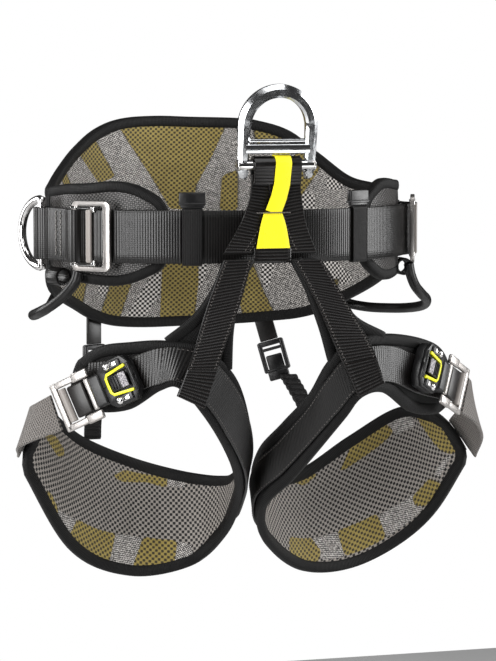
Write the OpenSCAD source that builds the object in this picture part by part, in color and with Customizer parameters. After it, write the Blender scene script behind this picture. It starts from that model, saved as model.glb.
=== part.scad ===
// Tree climbing saddle: padded waist belt, ventral ring on a V bridge, and two adjustable leg loops.
// Millimetres. +Z is up and the wearer faces -Y. Left is -X and right is +X, as seen from the front.
// The origin is the centre of the waist, at the middle of the waist webbing's width.

/* [Waist belt] */
// Distance from the bridge's middle to the belt's left side, at the outer face of the padding
belt_a = 150; // [140:1:180]
// How much nearer the right side is, as the belt hangs
right_tuck = 16; // [0:1:18]
// Half depth of the belt at the outer face of the padding, front to back
belt_b = 112; // [98:1:140]
// Width of the waist webbing
belt_web_w = 40; // [32:1:44]
// Thickness of one layer of webbing
web_t = 2.2; // [1.8:0.1:2.8]
// Thickness of the belt padding
belt_pad_t = 9; // [6:0.5:12]
// Height of the back pad, bottom edge to top edge
back_pad_h = 170; // [140:1:210]

/* [Ventral ring] */
// Outside width of the ring
ring_w = 61; // [55:1:75]
// Height of the ring above its pin
ring_h = 60; // [52:1:75]
// Thickness of the ring's bar
ring_bar_d = 8; // [6:0.5:10]
// Diameter of the ring's pin
ring_pin_d = 8; // [6:0.5:9]
// Width of the webbing that the ring carries
bridge_web_w = 34; // [26:1:38]

/* [Side rings] */
// Radius of a side ring, at the middle of its bar
side_ring_r = 26; // [24:1:32]
// Thickness of a side ring's bar
side_ring_d = 6.4; // [5:0.2:7]

/* [Waist buckles] */
// Length of a waist buckle's frame, along the webbing
waist_frame_l = 34; // [30:1:42]
// Thickness of a waist buckle's frame
waist_frame_t = 3.4; // [2.5:0.1:4.5]
// Diameter of the bar that the side strap folds round
waist_bar_d = 4.4; // [3.6:0.1:5]

/* [Leg loops] */
// Thickness of the leg padding
leg_pad_t = 8; // [5:0.5:10]
// Width of the leg webbing
leg_web_w = 28; // [20:1:29]
// Thickness of the padded risers
riser_t = 6; // [4:0.5:8]

/* [Leg buckles] */
// Length of a buckle's housing
housing_l = 38; // [34:1:48]
// Width of a buckle's housing
housing_w = 36; // [33:1:42]
// Thickness of a buckle's housing
housing_t = 12; // [10:0.5:14]
// Width of a buckle's tongue
tongue_w = 21; // [16:1:24]
// Thickness of a buckle's tongue
tongue_t = 4; // [3:0.2:4.6]
// Length of a buckle's button
button_l = 18; // [12:1:18]
// Travel of a buckle's button
button_travel = 2.5; // [1.5:0.1:2.6]

/* [Gear loops] */
// Diameter of the moulded gear loops
gear_loop_d = 8; // [6:0.5:10]

/* [Hidden] */

$fn = 48;
// Gap between sewn layers and between pieces that move past each other
layer_gap = 0.6;
slide_gap = 0.4;
// Radial play of a bar in its bore
running_gap = 0.05;
// Sections between two control points of a soft piece
soft_steps = 4;
black = "#26262a";
pad_grey = "#77767a";
olive = "#8a7a2e";
steel = "#b9bbbe";
alu = "#d8dadd";
yellow = "#f2e500";

// Layers of the belt, as distances outside the padding's outer face
side_ply_in = 3.6;
side_ply_out = side_ply_in + 2 * web_t;
ring_axis_out = side_ply_in + web_t + side_ring_d / 2;
frame_out = side_ply_out + 0.8 + waist_frame_t / 2;
ring_loop_r = side_ring_d / 2 + layer_gap;
bar_loop_r = waist_bar_d / 2 + slide_gap;
web_half = belt_web_w / 2;

// Angles round the belt, from the middle of the back, positive towards +X
function ring_phi(side) = side == "left" ? 97 : 82;
function buckle_phi(side) = side == "left" ? 124 : 108;
function keeper_phi(side) = side == "left" ? 155 : 149;
function pad_short(side) = side == "left" ? 0 : 3;
clip_phi_left = -35;
clip_phi_right = 27;
// Drop of each clip's place below the webbing, at a 170 mm pad
clip_drop_left = 86;
clip_drop_right = 88;

// Back pad edges, as [angle, height at a 170 mm pad]
back_scale = back_pad_h / 170;
back_top = [
    [-90, 33], [-80, 33], [-70, 36], [-59, 47], [-48, 62], [-37, 76], [-26, 84], [-13, 86], [0, 85],
    [16, 84], [24, 82], [36, 74], [48, 56], [62, 38], [76, 33], [90, 31]
];
back_bottom = [
    [-90, -33], [-80, -38], [-70, -48], [-60, -56], [-49, -65], [-40, -74], [-30, -81], [-17, -84],
    [-1, -84], [16, -83], [28, -81], [40, -78], [52, -71], [64, -60], [78, -48], [90, -38]
];
// Side pad edges, as [angle, height]
side_top = [[92, 34], [106, 37], [117, 38], [127, 40], [134, 39], [140, 34], [145, 26], [148, 12]];
side_bottom = [[92, -32], [106, -34], [117, -36], [127, -37], [134, -35], [140, -30], [145, -23], [148, -10]];

// Ventral ring and V bridge
bridge_x = -5;
ring_pin_y = -(belt_b + 12);
ring_pin_z = 54;
ring_lean = 8;
crossbar_z = ring_pin_d / 2 + web_t + layer_gap + 1 + ring_bar_d / 2;
ring_r = (ring_w - ring_bar_d) / 2;
ring_eye_r = ring_pin_d / 2 + 4;
foot_z = -12;
bridge_t = 2 * web_t - 0.4;
left_foot = [-46, -24];
right_foot = [5, 27];

// Leg loop edges: the edge towards the body, then the edge towards the knee.
// The leg loops hang from the bridge, so they keep their distance from the front of a 112 mm belt.
legs_y = 112 - belt_b;
left_leg_top = [
    [-145, -72, -95], [-131, -86, -83], [-113, -102, -79], [-90, -118, -77], [-63, -126, -82],
    [-38, -118, -103], [-20, -95, -134], [-8, -62, -164], [-4, -25, -190], [-6, 14, -199],
    [-31, 40, -197], [-71, 46, -185], [-119, 22, -163], [-154, -14, -136]
];
left_leg_bottom = [
    [-148, -72, -124], [-133, -84, -130], [-112, -100, -127], [-94, -118, -112], [-81, -126, -110],
    [-58, -116, -133], [-34, -92, -162], [-14, -58, -190], [-4, -24, -216], [-6, 8, -246],
    [-25, 32, -271], [-74, 36, -277], [-126, 20, -252], [-174, -12, -180]
];
right_leg_top = [
    [160, -58, -110], [146, -72, -93], [122, -92, -83], [86, -114, -77], [53, -126, -80],
    [37, -120, -98], [31, -100, -122], [20, -72, -146], [12, -40, -170], [22, 0, -198],
    [70, 38, -200], [116, 46, -175], [157, 38, -152], [181, 10, -155]
];
right_leg_bottom = [
    [158, -56, -139], [143, -70, -143], [116, -90, -138], [86, -114, -120], [63, -126, -121],
    [53, -116, -138], [40, -92, -165], [29, -62, -192], [16, -30, -219], [30, 0, -251],
    [70, 25, -279], [122, 32, -277], [172, 20, -244], [196, -12, -188]
];
left_riser_outer = [[-46, -125, -16], [-54, -126, -36], [-70, -125, -58], [-90, -119, -75]];
left_riser_inner = [[-23, -125, -16], [-33, -127, -36], [-40, -127, -66], [-40, -122, -98]];
right_riser_outer = [[28, -125, -16], [41, -126, -38], [57, -126, -61], [84, -117, -75]];
right_riser_inner = [[6, -125, -16], [17, -127, -37], [29, -127, -68], [38, -123, -94]];
left_strap_outer = [[-48, -126, -16], [-62, -127, -52], [-74, -128, -88], [-86, -130, -116]];
left_strap_inner = [[-26, -126, -16], [-35, -127, -47], [-50, -128, -86], [-65, -130, -126]];
right_strap_outer = [[29, -126, -17], [52, -127, -55], [69, -128, -84], [78, -130, -111]];
right_strap_inner = [[7, -126, -17], [24, -127, -49], [41, -128, -87], [57, -130, -121]];
left_adjust_top = [[-163, -14, -138], [-173, -34, -125], [-173, -55, -119], [-168, -71, -118]];
left_adjust_bottom = [[-177, -12, -172], [-182, -34, -163], [-172, -60, -153], [-159, -79, -145]];
right_adjust_top = [[190, 8, -157], [192, -18, -140], [185, -44, -124], [175, -64, -117]];
right_adjust_bottom = [[204, -12, -186], [200, -34, -170], [186, -56, -156], [166, -72, -144]];

// Rear elastics: the start is measured from the clip's place on the belt, and the end lies at the leg loop
elastic_w = 12;
elastic_t = 1.6;
elastic_share = 0.45;
left_elastic_start = [0, -6, -41];
right_elastic_start = [18, -10, -39];
left_elastic_end = [[-99, 55, -156], [-103, 42, -167]];
right_elastic_end = [[88, 64, -158], [91, 50, -174]];

// Gear loops: the middle line of each tube, as [angle, distance outside the padding, height]
left_gear_path = [
    [118, 8.5, -27], [117, 9.5, -35], [113, 11, -45], [107, 13, -54], [100, 14, -60],
    [90, 11, -64], [80, 8, -66], [67, 8, -67], [56, 9, -64], [50, 11, -56]
];
right_gear_path = [
    [114, 8.5, -27], [113, 10, -36], [110, 13, -45], [105, 18, -52], [99, 24, -58],
    [90, 28, -64], [80, 29, -68], [70, 27, -70], [60, 24, -70], [53, 18, -66], [49, 11, -56]
];

// Leg buckles: place and turn of each
left_buckle_at = [-126, -108, -108];
left_buckle_yaw = -40;
right_buckle_at = [130, -99, -107];
right_buckle_yaw = -38;
buckle_rise = 25;
// The frame end stays at its webbing, so a housing over 38 mm grows towards the junction
housing_growth = (housing_l - 38) / 2;
slot_end = -housing_l / 2 + 14;
button_w = 16;
button_t = 2.6;
button_x = housing_l / 2 - 4.4 - button_l / 2;
button_face = -housing_t / 2 - 0.8;
leg_frame_l = 30;
leg_frame_w = 38;
leg_frame_t = 3;
leg_frame_x = -housing_l / 2 - 3 - leg_frame_l / 2;
leg_frame_rim = 3.6;
rivet_r = 2.2;

// ---- curves and soft solids ----

function unit(v) = v / norm(v);
function knot(p, i) =
    i < 0 ? 2 * p[0] - p[1] :
    i > len(p) - 1 ? 2 * p[len(p) - 1] - p[len(p) - 2] : p[i];
function spline_at(p, i, f) =
    let (a = knot(p, i - 1), b = p[i], c = knot(p, i + 1), d = knot(p, i + 2))
    0.5 * (2 * b + (c - a) * f + (2 * a - 5 * b + 4 * c - d) * f * f + (3 * b - a - 3 * c + d) * f * f * f);
function spline(p, n) =
    concat([for (i = [0 : len(p) - 2], j = [0 : n - 1]) spline_at(p, i, j / n)], [p[len(p) - 1]]);
function heading(c, i) = unit(c[min(i + 1, len(c) - 1)] - c[max(i - 1, 0)]);

// The left side's pieces are mirrored ones, so their angles are positive too
$mirrored = false;
function half_width(phi) = belt_a - ($mirrored || sin(phi) < 0 ? 0 : right_tuck);

// A point of the belt at an angle and a height, a distance outside the padding's outer face
function waist(phi, z, out) = [(half_width(phi) + out) * sin(phi), (belt_b + out) * cos(phi), z];
function waist_turn(phi) = atan2(-belt_b * sin(phi), half_width(phi) * cos(phi));

// A closed solid through rings of points, each ring clockwise as seen from the start
module sweep(rings) {
    k = len(rings[0]);
    last = len(rings) - 1;
    polyhedron(
        points = [for (ring = rings) each ring],
        faces = concat(
            [for (j = [1 : k - 2]) [0, j, j + 1]],
            [for (j = [1 : k - 2]) [last * k, last * k + j + 1, last * k + j]],
            [for (i = [0 : last - 1], j = [0 : k - 1])
                [i * k + j, (i + 1) * k + j, (i + 1) * k + (j + 1) % k]],
            [for (i = [0 : last - 1], j = [0 : k - 1])
                [i * k + j, (i + 1) * k + (j + 1) % k, i * k + (j + 1) % k]]
        )
    );
}

// A strap or pad between two edges, filled from lo to hi along its own normal
module ribbon(edge_a, edge_b, lo, hi) {
    a = spline(edge_a, soft_steps);
    b = spline(edge_b, soft_steps);
    c = (a + b) / 2;
    sweep([
        for (i = [0 : len(a) - 1])
            let (n = unit(cross(heading(c, i), a[i] - b[i])))
            [a[i] + n * hi, b[i] + n * hi, b[i] + n * lo, a[i] + n * lo]
    ]);
}

// The same for a leg loop, where out is away from the thigh on both sides
module leg_ribbon(side, edge_a, edge_b, lo, hi) {
    if (side == "left") ribbon(edge_a, edge_b, lo, hi);
    else ribbon(edge_a, edge_b, -hi, -lo);
}

// Two edges a width apart inside the given edges, for webbing sewn along a pad
function inset_edge(edge_a, edge_b, i, w) =
    let (m = (edge_a[i] + edge_b[i]) / 2, d = edge_a[i] - edge_b[i])
    m + unit(d) * min(w, norm(d) - 6) / 2;

// A pad that follows the belt between two edges of [angle, height]
module belt_pad(top, bottom, lo, hi) {
    a = spline(top, soft_steps);
    b = spline(bottom, soft_steps);
    sweep([
        for (i = [0 : len(a) - 1])
            [waist(a[i].x, a[i].y, lo), waist(b[i].x, b[i].y, lo),
             waist(b[i].x, b[i].y, hi), waist(a[i].x, a[i].y, hi)]
    ]);
}

// Webbing on edge round the belt, between two angles
module belt_strip(from, to, lo, hi, w) {
    n = max(2, ceil((to - from) / 4));
    linear_extrude(height = w, center = true)
        polygon(concat(
            [for (i = [0 : n]) let (p = waist(from + (to - from) * i / n, 0, hi)) [p.x, p.y]],
            [for (i = [n : -1 : 0]) let (p = waist(from + (to - from) * i / n, 0, lo)) [p.x, p.y]]
        ));
}

// A round tube along a path
module tube(path, d, along) {
    c = spline(path, soft_steps);
    sides = 8;
    sweep([
        for (i = [0 : len(c) - 1])
            let (t = heading(c, i), n1 = unit(cross(t, along)), n2 = cross(t, n1))
            [for (j = [0 : sides - 1]) c[i] + (n1 * cos(j * 360 / sides) + n2 * sin(j * 360 / sides)) * d / 2]
    ]);
}

// A flat rounded rectangle
module rounded(w, h, r) {
    square([w - 2 * r, h], center = true);
    square([w, h - 2 * r], center = true);
    for (x = [-1, 1], y = [-1, 1])
        translate([x * (w / 2 - r), y * (h / 2 - r)])
            circle(r);
}

// A plate cut from the outline in its own plane: x along the webbing, z across it
module plate(t) {
    rotate([90, 0, 0])
        linear_extrude(height = t, center = true)
            children();
}

// Places a piece on the belt: x along the belt, y outwards, z up
module on_belt(phi, out) {
    translate(waist(phi, 0, out))
        rotate([0, 0, waist_turn(phi)])
            children();
}

// The belt's sides mirror each other
module belt_side(side) {
    $mirrored = side == "left";
    if (side == "left") mirror([1, 0, 0]) children();
    else children();
}

// Places what hangs from the bridge
module on_legs() {
    translate([0, legs_y, 0]) children();
}

module at_leg_buckle(side) {
    on_legs()
        if (side == "left")
            translate(left_buckle_at)
                rotate([0, -buckle_rise, left_buckle_yaw])
                    translate([housing_growth, 0, 0])
                        children();
        else
            translate(right_buckle_at)
                mirror([1, 0, 0])
                    rotate([0, -buckle_rise, right_buckle_yaw])
                        translate([housing_growth, 0, 0])
                            children();
}

// ---- waist belt ----

module back_pad() {
    color(olive)
        belt_pad(
            [for (p = back_top) [p.x, p.y * back_scale]],
            [for (p = back_bottom) [p.x, p.y * back_scale]],
            -belt_pad_t, 0
        );
}

module back_webbing() {
    color(black)
        belt_strip(-94, 94, layer_gap, layer_gap + web_t, belt_web_w);
}

module front_webbing() {
    color(black)
        belt_strip(buckle_phi("right") - 2, 362 - buckle_phi("left"), layer_gap, layer_gap + web_t, belt_web_w);
}

// The free end of a side pad's edge, drawn back by some degrees so that it stops short of the keeper
function shortened(edge, degrees) =
    let (straight = 127, last = edge[len(edge) - 1][0])
    [for (p = edge) [p[0] - degrees * max(0, p[0] - straight) / (last - straight), p[1]]];

module side_pad(side) {
    color(black)
        belt_side(side)
            belt_pad(shortened(side_top, pad_short(side)), shortened(side_bottom, pad_short(side)), -belt_pad_t, 0);
}

// Side webbing: folded round the side ring at one end and the buckle's bar at the other
module ring_strap(side) {
    color(black)
        belt_side(side) {
            belt_strip(ring_phi(side) + 2, buckle_phi(side) - 7, side_ply_in, side_ply_out, belt_web_w);
            on_belt(ring_phi(side), ring_axis_out)
                web_loop(ring_loop_r);
            on_belt(buckle_phi(side), frame_out)
                translate([-waist_frame_l / 2 + waist_bar_d / 2, 0, 0])
                    web_loop(bar_loop_r);
        }
}

module web_loop(r) {
    difference() {
        cylinder(h = belt_web_w, r = r + web_t, center = true);
        cylinder(h = belt_web_w + 2, r = r, center = true);
    }
}

// D-shaped ring, folded back along the belt
module side_ring(side) {
    color(steel)
        belt_side(side)
            on_belt(ring_phi(side), ring_axis_out)
                rotate([0, 0, 168]) {
                    cylinder(h = 2 * side_ring_r, d = side_ring_d, center = true);
                    rotate([90, 0, 0])
                        rotate([0, 0, -90])
                            rotate_extrude(angle = 180)
                                translate([side_ring_r, 0])
                                    circle(d = side_ring_d);
                    for (z = [-1, 1])
                        translate([0, 0, z * side_ring_r])
                            sphere(d = side_ring_d);
                }
}

// Elastic keeper with a moulded tab standing on it
module keeper(side) {
    keeper_phi_w = 3;
    keeper_t = 1.2;
    color(black)
        belt_side(side) {
            difference() {
                belt_strip(keeper_phi(side) - keeper_phi_w, keeper_phi(side) + keeper_phi_w,
                    layer_gap - slide_gap - keeper_t, layer_gap + web_t + slide_gap + keeper_t,
                    belt_web_w + 2 * (slide_gap + keeper_t));
                belt_strip(keeper_phi(side) - keeper_phi_w - 1, keeper_phi(side) + keeper_phi_w + 1,
                    layer_gap - slide_gap, layer_gap + web_t + slide_gap,
                    belt_web_w + 2 * slide_gap);
            }
            on_belt(keeper_phi(side), layer_gap + web_t / 2)
                translate([0, 0, web_half + slide_gap + keeper_t + 6])
                    cube([20, 5, 12], center = true);
        }
}

// Steel frame of a waist buckle: two legs, a round bar at one end and a flat crossbar at the other
module waist_frame(side) {
    leg_in = web_half + 2.8;
    leg_w = 3.7;
    color(steel)
        belt_side(side)
            on_belt(buckle_phi(side), frame_out) {
                for (z = [-1, 1])
                    translate([0, 0, z * (leg_in + leg_w / 2)])
                        cube([waist_frame_l, waist_frame_t, leg_w], center = true);
                translate([waist_frame_l / 2 - 2.5, 0, 0])
                    cube([5, waist_frame_t, 2 * leg_in + leg_w], center = true);
                translate([-waist_frame_l / 2 + waist_bar_d / 2, 0, 0])
                    cylinder(h = 2 * leg_in + leg_w, d = waist_bar_d, center = true);
            }
}

// Inner plate that tilts on the round bar
module waist_plate(side) {
    arm_z = web_half + 0.5;
    arm_w = 1.9;
    reach = 18;
    bore_r = waist_bar_d / 2 + running_gap;
    color(steel)
        belt_side(side)
            on_belt(buckle_phi(side), frame_out)
                translate([-waist_frame_l / 2 + waist_bar_d / 2, 0, 0]) {
                    for (z = [-arm_z - arm_w, arm_z])
                        translate([0, 0, z])
                            linear_extrude(height = arm_w)
                                difference() {
                                    union() {
                                        circle(r = bore_r + 1.6);
                                        translate([0, -1.5]) square([reach, 3]);
                                    }
                                    circle(r = bore_r);
                                }
                    translate([reach - 6, -1.5, -arm_z - 0.5])
                        cube([4, 1.4, 2 * arm_z + 1]);
                }
}

// Grey bar across the inner plate
module waist_bar(side) {
    color(pad_grey)
        belt_side(side)
            on_belt(buckle_phi(side), frame_out)
                translate([-waist_frame_l / 2 + waist_bar_d / 2 + 14, 2, 0])
                    plate(3.2)
                        rounded(4.6, belt_web_w, 1);
}

// ---- ventral ring and bridge ----

module at_ring() {
    translate([bridge_x, ring_pin_y, ring_pin_z])
        rotate([ring_lean, 0, 0])
            children();
}

module ring() {
    bow_z = ring_h - ring_r - ring_bar_d / 2;
    color(alu)
        at_ring() {
            translate([0, 0, bow_z])
                rotate([90, 0, 0])
                    rotate_extrude(angle = 180)
                        translate([ring_r, 0])
                            circle(d = ring_bar_d);
            translate([0, 0, crossbar_z])
                rotate([0, 90, 0])
                    cylinder(h = 2 * ring_r, d = ring_bar_d, center = true);
            for (x = [-1, 1])
                translate([x * ring_r, 0, 0])
                    ring_leg(bow_z);
        }
}

// One leg of the ring, ending in an eye round the pin
module ring_leg(bow_z) {
    difference() {
        union() {
            cylinder(h = bow_z, d = ring_bar_d);
            rotate([0, 90, 0])
                cylinder(h = ring_bar_d, r = ring_eye_r, center = true);
        }
        rotate([0, 90, 0])
            cylinder(h = ring_bar_d + 2, d = ring_pin_d + 2 * running_gap, center = true);
    }
}

module ring_pin() {
    color(steel)
        at_ring()
            rotate([0, 90, 0])
                cylinder(h = ring_w, d = ring_pin_d, center = true);
}

module ring_screws() {
    color(steel)
        at_ring()
            for (x = [-1, 1])
                translate([x * (ring_w / 2 + 1.1), 0, 0])
                    rotate([0, 90, 0])
                        cylinder(h = 2, r = 5.5, center = true);
}

// V of webbing: a loop round the pin, widening into two feet that carry the leg straps
module bridge_web() {
    loop_r = ring_pin_d / 2 + layer_gap;
    top_z = ring_pin_z - loop_r - 1;
    color(black) {
        translate([bridge_x, ring_pin_y, ring_pin_z])
            rotate([0, 90, 0])
                difference() {
                    cylinder(h = bridge_web_w, r = loop_r + web_t, center = true);
                    cylinder(h = bridge_web_w + 2, r = loop_r, center = true);
                }
        translate([0, ring_pin_y, 0])
            plate(bridge_t)
                polygon([
                    [bridge_x - bridge_web_w / 2, top_z], [bridge_x - bridge_web_w / 2, 46],
                    [bridge_x - bridge_web_w / 2 - 3, 28], [left_foot[0], foot_z], [left_foot[1], foot_z],
                    [left_foot[1] + 2, -7], [right_foot[0] - 2, -7],
                    [right_foot[0], foot_z], [right_foot[1], foot_z],
                    [bridge_x + bridge_web_w / 2 + 2, 28], [bridge_x + bridge_web_w / 2, 46],
                    [bridge_x + bridge_web_w / 2, top_z]
                ]);
    }
}

// Yellow strip down the middle of the V, widening at the bottom
module wear_strip() {
    strip_t = 1;
    strip_w = 11;
    top_z = ring_pin_z - ring_pin_d / 2 - 8;
    color(yellow)
        translate([bridge_x, ring_pin_y - bridge_t / 2 - 0.2 - strip_t / 2, 0])
            plate(strip_t)
                polygon([
                    [-strip_w / 2, top_z], [-strip_w / 2 - 5, 20], [-18, -6], [5, -6],
                    [strip_w / 2 - 4, 20], [strip_w / 2, top_z]
                ]);
}

// ---- gear loops, small loops and the rear suspension ----

module gear_loop(side) {
    path = side == "left" ? left_gear_path : right_gear_path;
    color(black)
        belt_side(side)
            tube([for (p = path) waist(p.x, p.z, p.y)], gear_loop_d, [1, 1, 0]);
}

// Folded webbing loop under the side strap
module accessory_loop(side) {
    accessory_loop_r = 4.8;
    color(black)
        belt_side(side)
            on_belt(ring_phi(side) + 10, accessory_loop_r + web_t + slide_gap)
                translate([0, 0, -web_half - 12]) {
                    rotate([0, 90, 0])
                        difference() {
                            cylinder(h = 14, r = accessory_loop_r + web_t, center = true);
                            cylinder(h = 16, r = accessory_loop_r, center = true);
                        }
                    translate([0, 0, 8.8])
                        cube([14, web_t, 5], center = true);
                }
}

module at_rear(side) {
    if (side == "left")
        on_belt(clip_phi_left, 0)
            translate([0, 3, -clip_drop_left * back_scale])
                children();
    else
        on_belt(clip_phi_right, 0)
            translate([0, 3, -clip_drop_right * back_scale])
                rotate([0, -16, 0])
                    children();
}

module rear_tab(side) {
    color(black)
        at_rear(side)
            translate([0, 0, 2])
                cube([15, web_t, 26], center = true);
}

// Side-release clip: a frame whose upper bar hangs in the tab and whose lower window takes the hook
module rear_clip(side) {
    color(black)
        at_rear(side)
            translate([0, 0, -24.5])
                plate(5)
                    difference() {
                        rounded(22, 26, 3);
                        translate([0, -4]) square([14.8, 18.1], center = true);
                    }
}

module rear_hook(side) {
    color(black)
        at_rear(side)
            translate([0, 0, -30])
                cube([14, 4, 13], center = true);
}

module rear_elastic(side) {
    left = side == "left";
    start = left
        ? waist(clip_phi_left, -clip_drop_left * back_scale, 0) + left_elastic_start
        : waist(clip_phi_right, -clip_drop_right * back_scale, 0) + right_elastic_start;
    end = [for (p = left ? left_elastic_end : right_elastic_end) p + [0, legs_y, 0]];
    path = concat([start, start + (end[0] - start) * elastic_share], end);
    color(black)
        ribbon([for (p = path) p + [elastic_w / 2, 0, 0]], [for (p = path) p - [elastic_w / 2, 0, 0]],
            -elastic_t / 2, elastic_t / 2);
}

// ---- leg loops ----

module leg_pad(side) {
    color(pad_grey)
        on_legs()
            if (side == "left")
                leg_ribbon(side, left_leg_top, left_leg_bottom, -leg_pad_t / 2, leg_pad_t / 2);
            else
                leg_ribbon(side, right_leg_top, right_leg_bottom, -leg_pad_t / 2, leg_pad_t / 2);
}

module riser_pad(side) {
    color(black)
        on_legs()
            if (side == "left") ribbon(left_riser_inner, left_riser_outer, -riser_t / 2, riser_t / 2);
            else ribbon(right_riser_outer, right_riser_inner, -riser_t / 2, riser_t / 2);
}

module leg_strap(side) {
    lo = riser_t / 2 + layer_gap;
    color(black)
        on_legs()
            if (side == "left") ribbon(left_strap_inner, left_strap_outer, lo, lo + web_t);
            else ribbon(right_strap_outer, right_strap_inner, lo, lo + web_t);
}

// Webbing sewn along the outside of the leg pad, from the buckle round to the outer end
module leg_webbing(side) {
    a = side == "left" ? left_leg_top : right_leg_top;
    b = side == "left" ? left_leg_bottom : right_leg_bottom;
    first = 3;
    lo = leg_pad_t / 2 + 0.3;
    color(black)
        on_legs()
            leg_ribbon(side,
                [for (i = [first : len(a) - 1]) inset_edge(a, b, i, leg_web_w)],
                [for (i = [first : len(a) - 1]) inset_edge(b, a, i, leg_web_w)],
                lo, lo + web_t);
}

module adjust_webbing(side) {
    color(black)
        on_legs()
            if (side == "left")
                leg_ribbon(side, left_adjust_bottom, left_adjust_top, -web_t / 2, web_t / 2);
            else
                leg_ribbon(side, right_adjust_bottom, right_adjust_top, -web_t / 2, web_t / 2);
}

// ---- leg buckles ----

module buckle_housing(side) {
    slot_l = slot_end + housing_l / 2;
    color(black)
        at_leg_buckle(side)
            difference() {
                plate(housing_t) rounded(housing_l, housing_w, 5);
                translate([slot_end - slot_l / 2 - 1, 0, 0])
                    cube([slot_l + 2, tongue_t + 2 * slide_gap, tongue_w + 2 * slide_gap], center = true);
                translate([button_x, -housing_t / 2, 0])
                    cube([button_l + 2 * slide_gap, 2 * (button_t + button_travel), button_w + 2 * slide_gap],
                        center = true);
                buckle_rivet_places()
                    rotate([90, 0, 0])
                        cylinder(h = housing_t + 2, r = rivet_r + running_gap, center = true);
            }
}

module buckle_rivet_places() {
    for (z = [-1, 1])
        translate([-2, 0, z * (housing_w / 2 - 4.5)])
            children();
}

module buckle_button(side) {
    color(yellow)
        at_leg_buckle(side)
            translate([button_x, button_face + button_t / 2, 0])
                cube([button_l, button_t, button_w], center = true);
}

module buckle_rivets(side) {
    color(steel)
        at_leg_buckle(side)
            buckle_rivet_places()
                rotate([90, 0, 0]) {
                    cylinder(h = housing_t, r = rivet_r, center = true);
                    translate([0, 0, housing_t / 2])
                        cylinder(h = 1, r = rivet_r + 0.9);
                }
}

module buckle_tongue(side) {
    start = leg_frame_x + leg_frame_l / 2 + slide_gap;
    color(black)
        at_leg_buckle(side)
            translate([(start + slot_end - 1) / 2, 0, 0])
                plate(tongue_t)
                    rounded(slot_end - 1 - start, tongue_w, 2);
}

module leg_frame(side) {
    color(steel)
        at_leg_buckle(side)
            translate([leg_frame_x, 0, 0])
                plate(leg_frame_t)
                    difference() {
                        rounded(leg_frame_l, leg_frame_w, 3);
                        square(
                            [leg_frame_l - 2 * leg_frame_rim, leg_frame_w - 2 * leg_frame_rim],
                            center = true);
                    }
}

module leg_roller(side) {
    color(pad_grey)
        at_leg_buckle(side)
            translate([leg_frame_x - 4, 0, 0])
                cylinder(h = leg_frame_w - 2 * leg_frame_rim - 0.2, r = 3, center = true);
}

back_pad();
back_webbing();
front_webbing();
bridge_web();
wear_strip();
ring();
ring_pin();
ring_screws();
for (side = ["left", "right"]) {
    side_pad(side);
    ring_strap(side);
    side_ring(side);
    keeper(side);
    waist_frame(side);
    waist_plate(side);
    waist_bar(side);
    gear_loop(side);
    accessory_loop(side);
    rear_tab(side);
    rear_clip(side);
    rear_hook(side);
    rear_elastic(side);
    leg_pad(side);
    riser_pad(side);
    leg_strap(side);
    leg_webbing(side);
    adjust_webbing(side);
    buckle_housing(side);
    buckle_button(side);
    buckle_rivets(side);
    buckle_tongue(side);
    leg_frame(side);
    leg_roller(side);
}
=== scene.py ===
import functools
import math
import bmesh
import bpy
from mathutils import Matrix, Vector
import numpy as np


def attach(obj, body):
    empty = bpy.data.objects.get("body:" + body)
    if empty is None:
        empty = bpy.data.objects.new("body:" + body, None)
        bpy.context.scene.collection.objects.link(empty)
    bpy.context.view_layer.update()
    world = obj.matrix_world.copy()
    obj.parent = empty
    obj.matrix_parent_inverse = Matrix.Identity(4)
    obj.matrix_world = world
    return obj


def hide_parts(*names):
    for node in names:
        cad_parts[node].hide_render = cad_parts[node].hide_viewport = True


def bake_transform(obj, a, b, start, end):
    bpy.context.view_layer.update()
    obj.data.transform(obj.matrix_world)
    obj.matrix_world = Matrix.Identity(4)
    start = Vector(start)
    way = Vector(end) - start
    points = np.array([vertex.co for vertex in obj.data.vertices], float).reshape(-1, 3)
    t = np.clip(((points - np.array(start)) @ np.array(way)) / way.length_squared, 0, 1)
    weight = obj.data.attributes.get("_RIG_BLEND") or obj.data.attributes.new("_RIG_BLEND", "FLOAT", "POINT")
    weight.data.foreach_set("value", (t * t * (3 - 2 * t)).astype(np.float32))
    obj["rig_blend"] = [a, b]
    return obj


# Tree climbing saddle: padded waist belt, ventral ring on a V bridge, and two adjustable leg loops.
# Lists and shapes are in millimetres; finish_piece turns them to metres. Left is -X, the wearer faces -Y.

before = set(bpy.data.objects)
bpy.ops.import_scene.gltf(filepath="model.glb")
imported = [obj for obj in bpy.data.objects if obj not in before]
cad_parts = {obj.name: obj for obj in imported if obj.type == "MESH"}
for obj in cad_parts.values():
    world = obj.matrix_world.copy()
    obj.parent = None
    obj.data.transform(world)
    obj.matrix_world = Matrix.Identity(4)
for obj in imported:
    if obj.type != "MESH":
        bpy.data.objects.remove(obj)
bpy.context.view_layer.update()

MM = 0.001
SIDES = {"left": -1, "right": 1}
BELT_A = 150
TUCK = 16  # how much nearer the right side hangs
BELT_B = 112
WEB_W = 40
WEB_T = 2.2
WEB_IN, WEB_OUT = 0.6, 2.8  # the belt webbing's two faces, outside the padding
RING_OUT = 9.0  # how far outside the padding the side rings' straight bars lie
BUCKLE_OUT = 10.5  # and the waist buckles' frames
BRIDGE_Y = -124  # the bridge's plane, in front of the wearer
PIN_Z = 54  # the height of the ventral ring's pin
DEGREE_SIDE = 2.05  # mm along the belt for one degree, at its sides
DEGREE_BACK = 2.3  # the same, over the back pad
SAMPLE = 0.12  # share of a point's spacing over which a ribbon's direction is taken

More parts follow.
